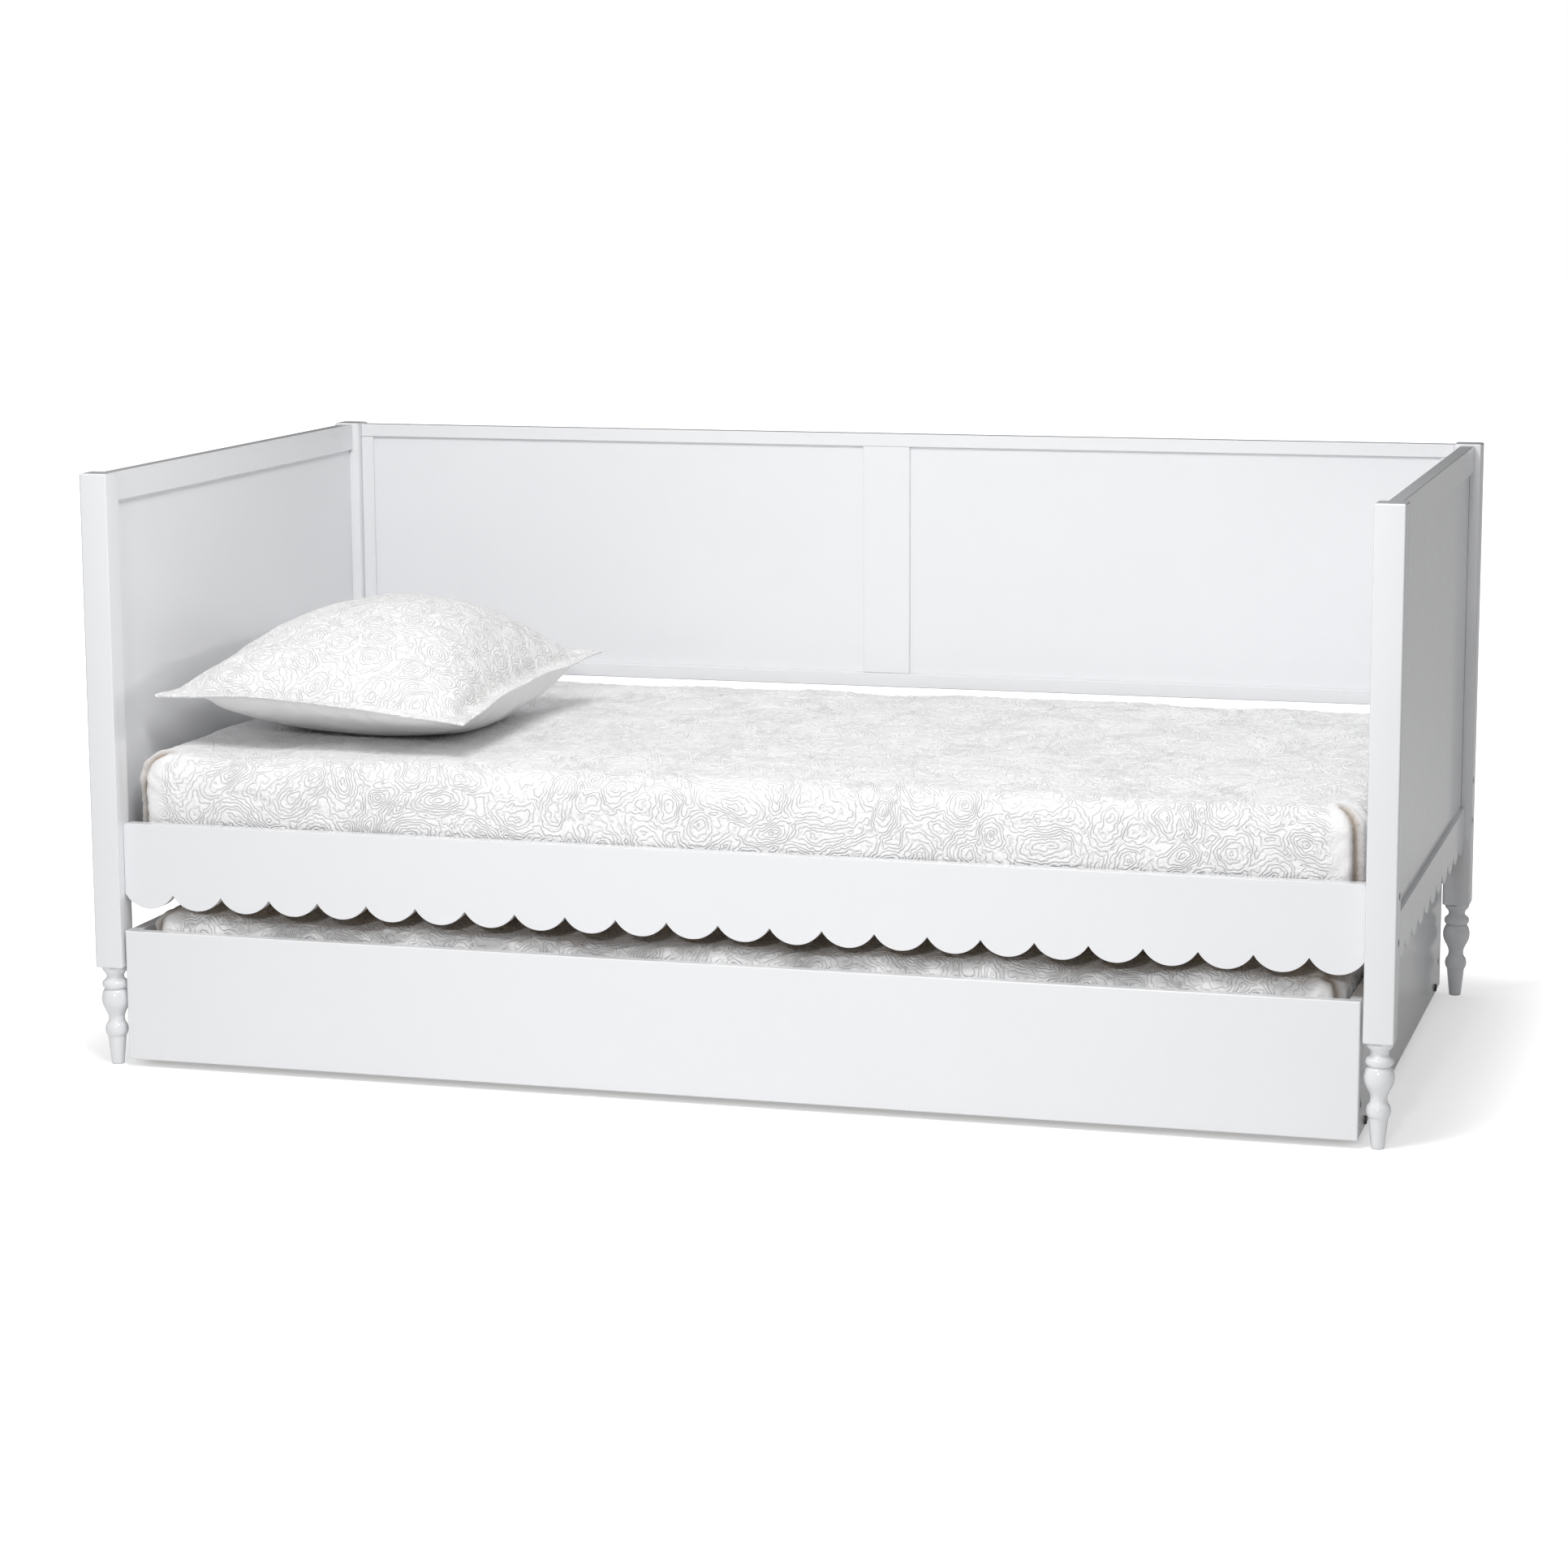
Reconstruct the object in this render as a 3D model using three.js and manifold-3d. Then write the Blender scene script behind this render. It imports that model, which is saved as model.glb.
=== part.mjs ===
// Trundle bed: a white painted daybed on turned feet, with a low trundle that rolls out from under
// its front. Millimetres, +Z up, +X to the right end, +Y to the back. The origin is on the floor at
// the centre of the bed.

import * as THREE from "three";
import { mergeVertices } from "three/addons/utils/BufferGeometryUtils.js";
import Module from "manifold-3d";

// ---------------------------------------------------------------- driving dimensions

const BED_LENGTH = 2020;
const BED_WIDTH = 1070;
const BED_HEIGHT = 930;
const GAP = 0.3;
const BOARD_EASE = 1.2;
const PANEL_EASE = 0.6;

const POST = 45;
const POST_EASE = 2.5;
const POST_CHAMFER = 1.2;
const SQUARE_BOTTOM = 157;

const RAIL_THICK = 22;
const PANEL_THICK = 9;
const TONGUE = 8;
const TENON_THICK = 10;
const TENON_LENGTH = 9;
const TENON_SHOULDER = 6;
const TENON_MARGIN = 4;

const END_X = 987.5;
const END_TOP_Z = [883, 928];
const END_BOTTOM_Z = [251, 324];
const END_SCALLOPS = 12;

const BACK_Y = 512.5;
const BACK_TOP_Z = [906, 928];
const BACK_BOTTOM_Z = [490, 514];
const SIDE_STILE = 22;
const CENTRE_STILE = 82;

const APRON_THICK = 20;
const APRON_Y = 505;
const APRON_Z = [251, 385];
const REAR_RAIL_Z = [288, 385];
const APRON_SCALLOPS = 24;
const SCALLOP_DEPTH = 23;
const SCALLOP_STEPS = 6;
const CORNER_CUT = 4;

const BOLT_Z = [301, 369];
const BOLT_RADIUS = 4;
const BOLT_LENGTH = 75;
const BOLT_HEAD_RADIUS = 6.5;
const BOLT_HEAD = 5;
const BOLT_SINK = 0.5;
const HEX_RADIUS = 3.2;

const LEDGER = 24;
const BED_LEDGER_LENGTH = 1870;
const SLAT_THICK = 18;
const SLAT_WIDTH = 80;
const SLAT_COUNT = 12;
const SLAT_EASE = 2;
const BED_DECK_Z = 328;
const MATTRESS = { length: 1904, width: 982, thick: 150, corner: 60, edge: 14 };

const TRUNDLE_X = 960.5;
const TRUNDLE_Y = [-529, 527];
const TRUNDLE_Z = [12.5, 217];
const TRUNDLE_THICK = 18;
const TRUNDLE_EASE = 1.5;
const TRUNDLE_LEDGER = 26;
const TRUNDLE_LEDGER_Z = [46, 72];
const BEARER_WIDTH = 45;
const DECK_THICK = 9;
const DECK_BOARDS = 3;
const DECK_EASE = 1;
const DECK_SPACE = 2;
const TRUNDLE_MATTRESS = { length: 1874, width: 996, thick: 150, corner: 60, edge: 16 };

const WHEEL_RADIUS = 24;
const WHEEL_WIDTH = 18;
const WHEEL_Y = 449;
const HUB_RADIUS = 9;
const HUB_PROUD = 3;
const WEB_HALF = 3;
const RIM_THICK = 5;
const TREAD_EASE = 1.5;
const AXLE_RADIUS = 4;
const AXLE_LENGTH = 50;
const AXLE_HEAD = 3;

const PILLOW = { x: -684, y: -107, length: 525, width: 614, seam: 572, top: 690, waist: 0.06 };

// ---------------------------------------------------------------- finishes

const WHITE_PAINT = { color: 0xf2f2f4, roughness: 0.35, metalness: 0 };
const BARE_PINE = { color: 0xd9bf94, roughness: 0.7, metalness: 0 };
const PLYWOOD = { color: 0xcfae80, roughness: 0.75, metalness: 0 };
const QUILTED_COTTON = { color: 0xf6f5f3, roughness: 0.95, metalness: 0 };
const DARK_STEEL = { color: 0x2e2d2c, roughness: 0.4, metalness: 0.9 };
const WHEEL_PLASTIC = { color: 0x27282a, roughness: 0.55, metalness: 0 };

// ---------------------------------------------------------------- making and placing solids

const wasm = await Module();
wasm.setup();

const bed = new THREE.Group();

function piece(name, geometry, look) {
  const mesh = new THREE.Mesh(geometry, new THREE.MeshStandardMaterial(look));
  mesh.name = name;
  bed.add(mesh);
}

function solidOf(geometry) {
  const bare = geometry.clone();
  bare.deleteAttribute("normal");
  bare.deleteAttribute("uv");
  const merged = mergeVertices(bare, 1e-4);
  const vertProperties = new Float32Array(merged.attributes.position.array);
  const triVerts = new Uint32Array(merged.index.array);
  return new wasm.Manifold(new wasm.Mesh({ numProp: 3, vertProperties, triVerts }));
}

function geometryOf(solid) {
  const mesh = solid.getMesh();
  const geometry = new THREE.BufferGeometry();
  geometry.setAttribute("position", new THREE.BufferAttribute(mesh.vertProperties, 3));
  geometry.setIndex(new THREE.BufferAttribute(mesh.triVerts, 1));
  return geometry;
}

const cut = (body, tools) =>
  geometryOf(tools.reduce((solid, tool) => solid.subtract(solidOf(tool)), solidOf(body)));

const join = (body, others) =>
  geometryOf(others.reduce((solid, other) => solid.add(solidOf(other)), solidOf(body)));

// ---------------------------------------------------------------- boards, blocks and bars

const span = (centre, width) => [centre - width / 2, centre + width / 2];
const between = (a, b) => [Math.min(a, b), Math.max(a, b)];
const middle = ([low, high]) => (low + high) / 2;

// A sharp-edged block from three ranges, grown all round by a clearance.
function block(ranges, grow = 0) {
  const size = ranges.map(([low, high]) => high - low + 2 * grow);
  const geometry = new THREE.BoxGeometry(...size);
  geometry.translate(...ranges.map(middle));
  return geometry;
}

// A board from three ranges: its two broad faces have eased edges.
function board(ranges, ease = BOARD_EASE) {
  const size = ranges.map(([low, high]) => high - low);
  const thin = size.indexOf(Math.min(...size));
  const across = (thin + 1) % 3;
  const along = (thin + 2) % 3;
  const w = size[across] / 2 - ease;
  const h = size[along] / 2 - ease;
  const face = new THREE.Shape();
  face.moveTo(-w, -h);
  face.lineTo(w, -h);
  face.lineTo(w, h);
  face.lineTo(-w, h);
  face.closePath();
  const geometry = new THREE.ExtrudeGeometry(face, {
    depth: size[thin] - 2 * ease,
    bevelThickness: ease,
    bevelSize: ease,
    bevelSegments: 1,
    steps: 1,
  });
  geometry.translate(0, 0, ease - size[thin] / 2);
  const axes = [0, 1, 2].map((i) => new THREE.Vector3().setComponent(i, 1));
  geometry.applyMatrix4(new THREE.Matrix4().makeBasis(axes[across], axes[along], axes[thin]));
  geometry.translate(...ranges.map(middle));
  return geometry;
}

// A board of a length along X whose lower edge is a row of equal arcs that meet in sharp notches.
// Its front face is at y = 0 and its back at y = thick.
function scallopedBoard(length, [low, high], thick, scallops) {
  const pitch = length / scallops;
  const radius = (pitch * pitch) / (8 * SCALLOP_DEPTH) + SCALLOP_DEPTH / 2;
  const half = Math.asin(pitch / 2 / radius);
  const outline = new THREE.Shape();
  outline.moveTo(-length / 2, high - CORNER_CUT);
  outline.lineTo(-length / 2, low + SCALLOP_DEPTH);
  for (let i = 0; i < scallops; i += 1) {
    const centre = -length / 2 + (i + 0.5) * pitch;
    for (let k = 1; k <= SCALLOP_STEPS; k += 1) {
      const turn = -half + (2 * half * k) / SCALLOP_STEPS;
      outline.lineTo(centre + radius * Math.sin(turn), low + radius * (1 - Math.cos(turn)));
    }
  }
  outline.lineTo(length / 2, high - CORNER_CUT);
  outline.lineTo(length / 2 - CORNER_CUT, high);
  outline.lineTo(-length / 2 + CORNER_CUT, high);
  outline.closePath();
  const geometry = new THREE.ExtrudeGeometry(outline, { depth: thick, bevelEnabled: false });
  geometry.rotateX(Math.PI / 2);
  geometry.translate(0, thick, 0);
  return geometry;
}

// A round bar along X, from an inner x to an outer x.
function bar(radius, [x0, x1], y, z, sides = 12) {
  const geometry = new THREE.CylinderGeometry(radius, radius, x1 - x0, sides);
  geometry.rotateZ(Math.PI / 2);
  geometry.translate((x0 + x1) / 2, y, z);
  return geometry;
}

// A soft block with round corners in plan and rolled top and bottom edges, its underside at z.
function softBlock({ length, width, thick, corner, edge }, y, z) {
  const inner = corner - edge;
  const cx = length / 2 - corner;
  const cy = width / 2 - corner;
  const plan = new THREE.Shape();
  plan.moveTo(-cx, -cy - inner);
  plan.absarc(cx, -cy, inner, -Math.PI / 2, 0);
  plan.absarc(cx, cy, inner, 0, Math.PI / 2);
  plan.absarc(-cx, cy, inner, Math.PI / 2, Math.PI);
  plan.absarc(-cx, -cy, inner, Math.PI, 1.5 * Math.PI);
  const geometry = new THREE.ExtrudeGeometry(plan, {
    depth: thick - 2 * edge,
    bevelThickness: edge,
    bevelSize: edge,
    bevelSegments: 2,
    curveSegments: 4,
  });
  geometry.translate(0, y, z + edge);
  return geometry;
}

// ---------------------------------------------------------------- where the joints are

const POST_X = (BED_LENGTH - POST) / 2;
const POST_Y = (BED_WIDTH - POST) / 2;
const CLEAR_X = POST_X - POST / 2;
const CLEAR_Y = POST_Y - POST / 2;
const ENDS = [["left", -1], ["right", 1]];
const FACES = [["front", -1], ["back", 1]];

const panelIn = (centre) => span(centre, PANEL_THICK);

// A stub tenon at one end of a rail that runs along Y, in the middle of the rail's height.
function tenonAlongY(x, ySide, [low, high]) {
  const reach = between(ySide * (CLEAR_Y - TENON_SHOULDER), ySide * (CLEAR_Y + TENON_LENGTH));
  return [span(x, TENON_THICK), reach, [low, high]];
}

// The same at one end of a rail that runs along X.
function tenonAlongX(xSide, y, [low, high]) {
  const reach = between(xSide * (CLEAR_X - TENON_SHOULDER), xSide * (CLEAR_X + TENON_LENGTH));
  return [reach, span(y, TENON_THICK), [low, high]];
}

const END_TOP_TENON_Z = [END_TOP_Z[0] + 2 * TONGUE, END_TOP_Z[1] - TONGUE];
const END_BOTTOM_TENON_Z = [
  END_BOTTOM_Z[0] + SCALLOP_DEPTH + TENON_MARGIN,
  END_BOTTOM_Z[1] - 2 * TONGUE,
];
const BACK_TOP_TENON_Z = [BACK_TOP_Z[1] - 12, BACK_TOP_Z[1] - TENON_MARGIN + 1];
const BACK_BOTTOM_TENON_Z = [BACK_BOTTOM_Z[0] + TENON_MARGIN - 1, BACK_BOTTOM_Z[0] + 14];
const APRON_TENON_Z = [REAR_RAIL_Z[0] + TENON_MARGIN, APRON_Z[1] - 6];

// A bolt that goes in along X from an outer face: a cylinder head and a shank.
function boltShape(xSide, faceX, y, z, grow = 0) {
  const headTop = faceX - BOLT_SINK + grow * 3;
  const headBottom = faceX - BOLT_SINK - BOLT_HEAD - grow;
  const tip = faceX - BOLT_SINK - BOLT_LENGTH - grow;
  const place = (from, to) => between(xSide * from, xSide * to);
  const head = bar(BOLT_HEAD_RADIUS + grow, place(headBottom, headTop), y, z);
  const shank = bar(BOLT_RADIUS + grow, place(tip, headBottom + 1), y, z);
  return join(head, [shank]);
}

// ---------------------------------------------------------------- posts and their turned feet

// From the floor: a taper, a ring, a neck, a bulb as wide as the post, a groove, a second ring, a
// second neck and the collar under the square.
function turnedFoot() {
  const profile = new THREE.Path();
  profile.moveTo(0, 0);
  profile.lineTo(8.5, 0);
  profile.lineTo(9.7, 1.5);
  profile.lineTo(14.3, 45.5);
  profile.lineTo(15.4, 47);
  profile.bezierCurveTo(18.6, 51, 18.6, 61, 15.6, 64.5);
  profile.bezierCurveTo(12.4, 68, 11.8, 74, 12.8, 78);
  profile.bezierCurveTo(15, 87, 22.3, 93, 22.3, 105);
  profile.bezierCurveTo(22.3, 113, 19, 120, 16, 121.5);
  profile.bezierCurveTo(21.9, 123, 22, 132, 18, 134.5);
  profile.bezierCurveTo(14, 137, 13.7, 139, 13.8, 142);
  profile.bezierCurveTo(14, 147, 19.6, 148, 20, 153);
  profile.lineTo(20, SQUARE_BOTTOM + POST_EASE * 2);
  profile.lineTo(0, SQUARE_BOTTOM + POST_EASE * 2);
  const foot = new THREE.LatheGeometry(profile.getPoints(3), 16);
  foot.rotateX(Math.PI / 2);
  return foot;
}

function squarePost() {
  const half = POST / 2 - POST_EASE;
  const section = new THREE.Shape();
  section.moveTo(-half + POST_CHAMFER, -half);
  section.lineTo(half - POST_CHAMFER, -half);
  section.lineTo(half, -half + POST_CHAMFER);
  section.lineTo(half, half - POST_CHAMFER);
  section.lineTo(half - POST_CHAMFER, half);
  section.lineTo(-half + POST_CHAMFER, half);
  section.lineTo(-half, half - POST_CHAMFER);
  section.lineTo(-half, -half + POST_CHAMFER);
  section.closePath();
  const geometry = new THREE.ExtrudeGeometry(section, {
    depth: BED_HEIGHT - SQUARE_BOTTOM - 2 * POST_EASE,
    bevelThickness: POST_EASE,
    bevelSize: POST_EASE,
    bevelSegments: 2,
  });
  geometry.translate(0, 0, SQUARE_BOTTOM + POST_EASE);
  return geometry;
}

for (const [face, ySide] of FACES) {
  for (const [end, xSide] of ENDS) {
    const post = join(squarePost(), [turnedFoot()]);
    post.translate(xSide * POST_X, ySide * POST_Y, 0);
    const railX = xSide * END_X;
    const apronY = ySide * APRON_Y;
    const panelGroove = [
      panelIn(railX),
      between(ySide * (CLEAR_Y - 1), ySide * (CLEAR_Y + TONGUE - GAP)),
      [END_BOTTOM_Z[1] - TONGUE, END_TOP_Z[0] + TONGUE],
    ];
    const joints = [
      panelGroove,
      tenonAlongY(railX, ySide, END_TOP_TENON_Z),
      tenonAlongY(railX, ySide, END_BOTTOM_TENON_Z),
      tenonAlongX(xSide, apronY, APRON_TENON_Z),
    ];
    if (face === "back") {
      joints.push(tenonAlongX(xSide, BACK_Y, BACK_TOP_TENON_Z));
      joints.push(tenonAlongX(xSide, BACK_Y, BACK_BOTTOM_TENON_Z));
    }
    const holes = joints.map((ranges) => block(ranges, GAP));
    for (const z of BOLT_Z) holes.push(boltShape(xSide, BED_LENGTH / 2, apronY, z, GAP));
    piece(`post_${face}_${end}`, cut(post, holes), WHITE_PAINT);
  }
}

// ---------------------------------------------------------------- the two end frames

const END_RAIL_Y = [GAP - CLEAR_Y, CLEAR_Y - GAP];

for (const [end, xSide] of ENDS) {
  const railX = xSide * END_X;
  const grooveRoom = (zRange) => block([panelIn(railX), [-CLEAR_Y, CLEAR_Y], zRange], GAP);
  const tenons = (zRange) => [-1, 1].map((ySide) => block(tenonAlongY(railX, ySide, zRange)));

  const topRail = board([span(railX, RAIL_THICK), END_RAIL_Y, END_TOP_Z]);
  const topGroove = grooveRoom([END_TOP_Z[0] - 1, END_TOP_Z[0] + TONGUE - GAP]);
  piece(`${end}_end_top_rail`, join(cut(topRail, [topGroove]), tenons(END_TOP_TENON_Z)), WHITE_PAINT);

  const panelY = CLEAR_Y + TONGUE - 2 * GAP;
  const panelZ = [END_BOTTOM_Z[1] - TONGUE + GAP, END_TOP_Z[0] + TONGUE - GAP];
  piece(`${end}_end_panel`, board([panelIn(railX), [-panelY, panelY], panelZ], PANEL_EASE), WHITE_PAINT);

  const scallops = scallopedBoard(END_RAIL_Y[1] * 2, END_BOTTOM_Z, RAIL_THICK, END_SCALLOPS);
  scallops.translate(0, -RAIL_THICK / 2, 0);
  scallops.rotateZ(Math.PI / 2);
  scallops.translate(railX, 0, 0);
  const lowGroove = grooveRoom([END_BOTTOM_Z[1] - TONGUE + GAP, END_BOTTOM_Z[1] + 1]);
  const lowRail = join(cut(scallops, [lowGroove]), tenons(END_BOTTOM_TENON_Z));
  piece(`${end}_end_scalloped_rail`, lowRail, WHITE_PAINT);
}

// ---------------------------------------------------------------- the back frame

const BACK_RAIL_X = [GAP - CLEAR_X, CLEAR_X - GAP];
const BACK_FRAME_Y = span(BACK_Y, RAIL_THICK);
const STILE_Z = [BACK_BOTTOM_Z[1] + GAP, BACK_TOP_Z[0] - GAP];
const STILE_TONGUE_Z = [BACK_BOTTOM_Z[1] - TONGUE + 2 * GAP, BACK_TOP_Z[0] + TONGUE - 2 * GAP];
const TOP_GROOVE_Z = [BACK_TOP_Z[0] - 1, BACK_TOP_Z[0] + TONGUE - GAP];
const LOW_GROOVE_Z = [BACK_BOTTOM_Z[1] - TONGUE + GAP, BACK_BOTTOM_Z[1] + 1];

function backRail(name, zRange, grooveZ, tenonZ) {
  const rail = board([BACK_RAIL_X, BACK_FRAME_Y, zRange]);
  const groove = block([[-CLEAR_X - 1, CLEAR_X + 1], panelIn(BACK_Y), grooveZ], GAP);
  const tenons = [-1, 1].map((xSide) => block(tenonAlongX(xSide, BACK_Y, tenonZ)));
  piece(name, join(cut(rail, [groove]), tenons), WHITE_PAINT);
}

backRail("back_top_rail", BACK_TOP_Z, TOP_GROOVE_Z, BACK_TOP_TENON_Z);
backRail("back_bottom_rail", BACK_BOTTOM_Z, LOW_GROOVE_Z, BACK_BOTTOM_TENON_Z);

// A stile with a tongue at each end for the rails' grooves, and a groove in each listed side.
function backStile(name, xRange, grooves) {
  const body = board([xRange, BACK_FRAME_Y, STILE_Z]);
  const tongue = block([[xRange[0] + GAP, xRange[1] - GAP], panelIn(BACK_Y), STILE_TONGUE_Z]);
  const grooveZ = [BACK_BOTTOM_Z[0], BACK_TOP_Z[1]];
  const tools = grooves.map((range) => block([range, panelIn(BACK_Y), grooveZ], GAP));
  piece(name, cut(join(body, [tongue]), tools), WHITE_PAINT);
}

const STILE_INNER = CLEAR_X - SIDE_STILE;
const PANEL_INNER = CENTRE_STILE / 2 - TONGUE + GAP;
const PANEL_OUTER = STILE_INNER + TONGUE - GAP;

for (const [end, xSide] of ENDS) {
  const stileX = between(xSide * STILE_INNER, xSide * (CLEAR_X - GAP));
  const grooveX = between(xSide * (STILE_INNER - 1), xSide * PANEL_OUTER);
  backStile(`back_${end}_stile`, stileX, [grooveX]);
  const panelX = between(xSide * (PANEL_INNER + GAP), xSide * (PANEL_OUTER - GAP));
  const panelZ = [LOW_GROOVE_Z[0] + GAP, TOP_GROOVE_Z[1] - GAP];
  piece(`back_${end}_panel`, board([panelX, panelIn(BACK_Y), panelZ], PANEL_EASE), WHITE_PAINT);
}
const centreGrooves = [-1, 1].map((side) =>
  between(side * PANEL_INNER, side * (CENTRE_STILE / 2 + 1)));
backStile("back_centre_stile", span(0, CENTRE_STILE), centreGrooves);

// ---------------------------------------------------------------- apron, rear rail and their bolts

function boltedRail(name, body, ySide) {
  const y = ySide * APRON_Y;
  const tenons = [-1, 1].map((xSide) => block(tenonAlongX(xSide, y, APRON_TENON_Z)));
  const holes = [];
  for (const xSide of [-1, 1]) {
    for (const z of BOLT_Z) holes.push(boltShape(xSide, BED_LENGTH / 2, y, z, GAP));
  }
  piece(name, cut(join(body, tenons), holes), WHITE_PAINT);
}

const apron = scallopedBoard(BACK_RAIL_X[1] * 2, APRON_Z, APRON_THICK, APRON_SCALLOPS);
apron.translate(0, -APRON_Y - APRON_THICK / 2, 0);
boltedRail("front_apron", apron, -1);

const rearRail = board([BACK_RAIL_X, span(APRON_Y, APRON_THICK), REAR_RAIL_Z]);
boltedRail("rear_support_rail", rearRail, 1);

for (const [end, xSide] of ENDS) {
  for (const [level, z] of [["lower", BOLT_Z[0]], ["upper", BOLT_Z[1]]]) {
    const faceX = BED_LENGTH / 2 - BOLT_SINK;
    const socketX = between(xSide * (faceX - 3), xSide * (faceX + 1));
    const socket = bar(HEX_RADIUS, socketX, -APRON_Y, z, 6);
    const bolt = cut(boltShape(xSide, BED_LENGTH / 2, -APRON_Y, z), [socket]);
    piece(`apron_bolt_${end}_${level}`, bolt, DARK_STEEL);
  }
}

// ---------------------------------------------------------------- ledgers, slats and mattress

const LEDGER_TOP = BED_DECK_Z - SLAT_THICK;
const RAIL_INNER_Y = APRON_Y - APRON_THICK / 2;

for (const [face, ySide] of FACES) {
  const outer = RAIL_INNER_Y - GAP;
  const yRange = between(ySide * outer, ySide * (outer - LEDGER));
  const zRange = [LEDGER_TOP - LEDGER, LEDGER_TOP];
  piece(`bed_ledger_${face}`, board([span(0, BED_LEDGER_LENGTH), yRange, zRange]), BARE_PINE);
}

const SLAT_PITCH = (MATTRESS.length - SLAT_WIDTH) / (SLAT_COUNT - 1);
for (let i = 0; i < SLAT_COUNT; i += 1) {
  const x = (i - (SLAT_COUNT - 1) / 2) * SLAT_PITCH;
  const number = String(i + 1).padStart(2, "0");
  const slatY = RAIL_INNER_Y - 2;
  const slatZ = [LEDGER_TOP + GAP, BED_DECK_Z + GAP];
  piece(`bed_slat_${number}`, board([span(x, SLAT_WIDTH), [-slatY, slatY], slatZ], SLAT_EASE), BARE_PINE);
}

const MATTRESS_Z = BED_DECK_Z + 2 * GAP;
piece("bed_mattress", softBlock(MATTRESS, 0, MATTRESS_Z), QUILTED_COTTON);

// ---------------------------------------------------------------- pillow

// A ball squeezed into a pillow: its equator becomes a four-cornered seam whose sides are drawn in,
// its upper half swells to the crown, and its lower half lies flat on the mattress.
function pillowShape() {
  const geometry = new THREE.SphereGeometry(1, 32, 12);
  geometry.rotateX(Math.PI / 2);
  const place = geometry.attributes.position;
  const rest = MATTRESS_Z + MATTRESS.thick + GAP;
  for (let i = 0; i < place.count; i += 1) {
    const turn = Math.atan2(place.getY(i), place.getX(i));
    const out = Math.acos(Math.min(1, Math.abs(place.getZ(i)))) / (Math.PI / 2);
    const [c, s] = [Math.cos(turn), Math.sin(turn)];
    const square = Math.max(Math.abs(c), Math.abs(s));
    const [u, v] = [(out * c) / square, (out * s) / square];
    const draw = 1 - PILLOW.waist * out * Math.cos(2 * turn) ** 2;
    const crown = place.getZ(i) > 0 ? PILLOW.top - PILLOW.seam : rest - PILLOW.seam - 20;
    const lift = crown * (Math.max(0, 1 - u * u) * Math.max(0, 1 - v * v)) ** 0.6;
    place.setX(i, PILLOW.x + (u * draw * PILLOW.length) / 2);
    place.setY(i, PILLOW.y + (v * draw * PILLOW.width) / 2);
    place.setZ(i, Math.max(PILLOW.seam + lift, rest));
  }
  return geometryOf(solidOf(geometry));
}

piece("pillow", pillowShape(), QUILTED_COTTON);

// ---------------------------------------------------------------- trundle box

const SIDE_INNER = TRUNDLE_X - GAP - TRUNDLE_THICK;
const FRONT_INNER = TRUNDLE_Y[0] + TRUNDLE_THICK;
const BACK_INNER = TRUNDLE_Y[1] - TRUNDLE_THICK;
const BETWEEN_SIDES = [-SIDE_INNER + GAP, SIDE_INNER - GAP];
const LEDGER_Y = {
  front: [FRONT_INNER + GAP, FRONT_INNER + GAP + TRUNDLE_LEDGER],
  back: [BACK_INNER - GAP - TRUNDLE_LEDGER, BACK_INNER - GAP],
};
const BEARER_TENON_Z = [TRUNDLE_LEDGER_Z[0] + 6, TRUNDLE_LEDGER_Z[1] - 6];
const BEARER_X = SIDE_INNER / DECK_BOARDS;
const bearerTenon = (x) => [
  span(x, BEARER_WIDTH - 10),
  [LEDGER_Y.front[1] - TENON_LENGTH, LEDGER_Y.back[0] + TENON_LENGTH],
  BEARER_TENON_Z,
];

// A ledger is held by a bolt through each side panel into its end.
const ledgerBolt = (xSide, yRange) =>
  boltShape(xSide, TRUNDLE_X - GAP, middle(yRange), middle(TRUNDLE_LEDGER_Z), GAP);

const trundleFront = [[-TRUNDLE_X, TRUNDLE_X], [TRUNDLE_Y[0], FRONT_INNER], TRUNDLE_Z];
piece("trundle_front_panel", board(trundleFront, TRUNDLE_EASE), WHITE_PAINT);
const trundleBack = [BETWEEN_SIDES, [BACK_INNER, TRUNDLE_Y[1]], TRUNDLE_Z];
piece("trundle_back_panel", board(trundleBack, TRUNDLE_EASE), WHITE_PAINT);

for (const [end, xSide] of ENDS) {
  const xRange = between(xSide * SIDE_INNER, xSide * (TRUNDLE_X - GAP));
  const side = board([xRange, [FRONT_INNER + GAP, TRUNDLE_Y[1]], TRUNDLE_Z], TRUNDLE_EASE);
  const through = between(xSide * (SIDE_INNER - 1), xSide * (TRUNDLE_X + 1));
  const holes = FACES.map(([face]) => ledgerBolt(xSide, LEDGER_Y[face]));
  for (const ySide of [-1, 1]) {
    holes.push(bar(AXLE_RADIUS + GAP, through, ySide * WHEEL_Y, WHEEL_RADIUS));
  }
  piece(`trundle_${end}_side`, cut(side, holes), WHITE_PAINT);
}

for (const [face] of FACES) {
  const ledger = board([BETWEEN_SIDES, LEDGER_Y[face], TRUNDLE_LEDGER_Z]);
  const holes = [-1, 1].map((xSide) => ledgerBolt(xSide, LEDGER_Y[face]));
  for (const side of [-1, 1]) holes.push(block(bearerTenon(side * BEARER_X), GAP));
  piece(`trundle_ledger_${face}`, cut(ledger, holes), BARE_PINE);
}

for (const [end, xSide] of ENDS) {
  const x = xSide * BEARER_X;
  const yRange = [LEDGER_Y.front[1] + GAP, LEDGER_Y.back[0] - GAP];
  const bearer = board([span(x, BEARER_WIDTH), yRange, TRUNDLE_LEDGER_Z]);
  piece(`trundle_bearer_${end}`, join(bearer, [block(bearerTenon(x))]), BARE_PINE);
}

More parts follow.
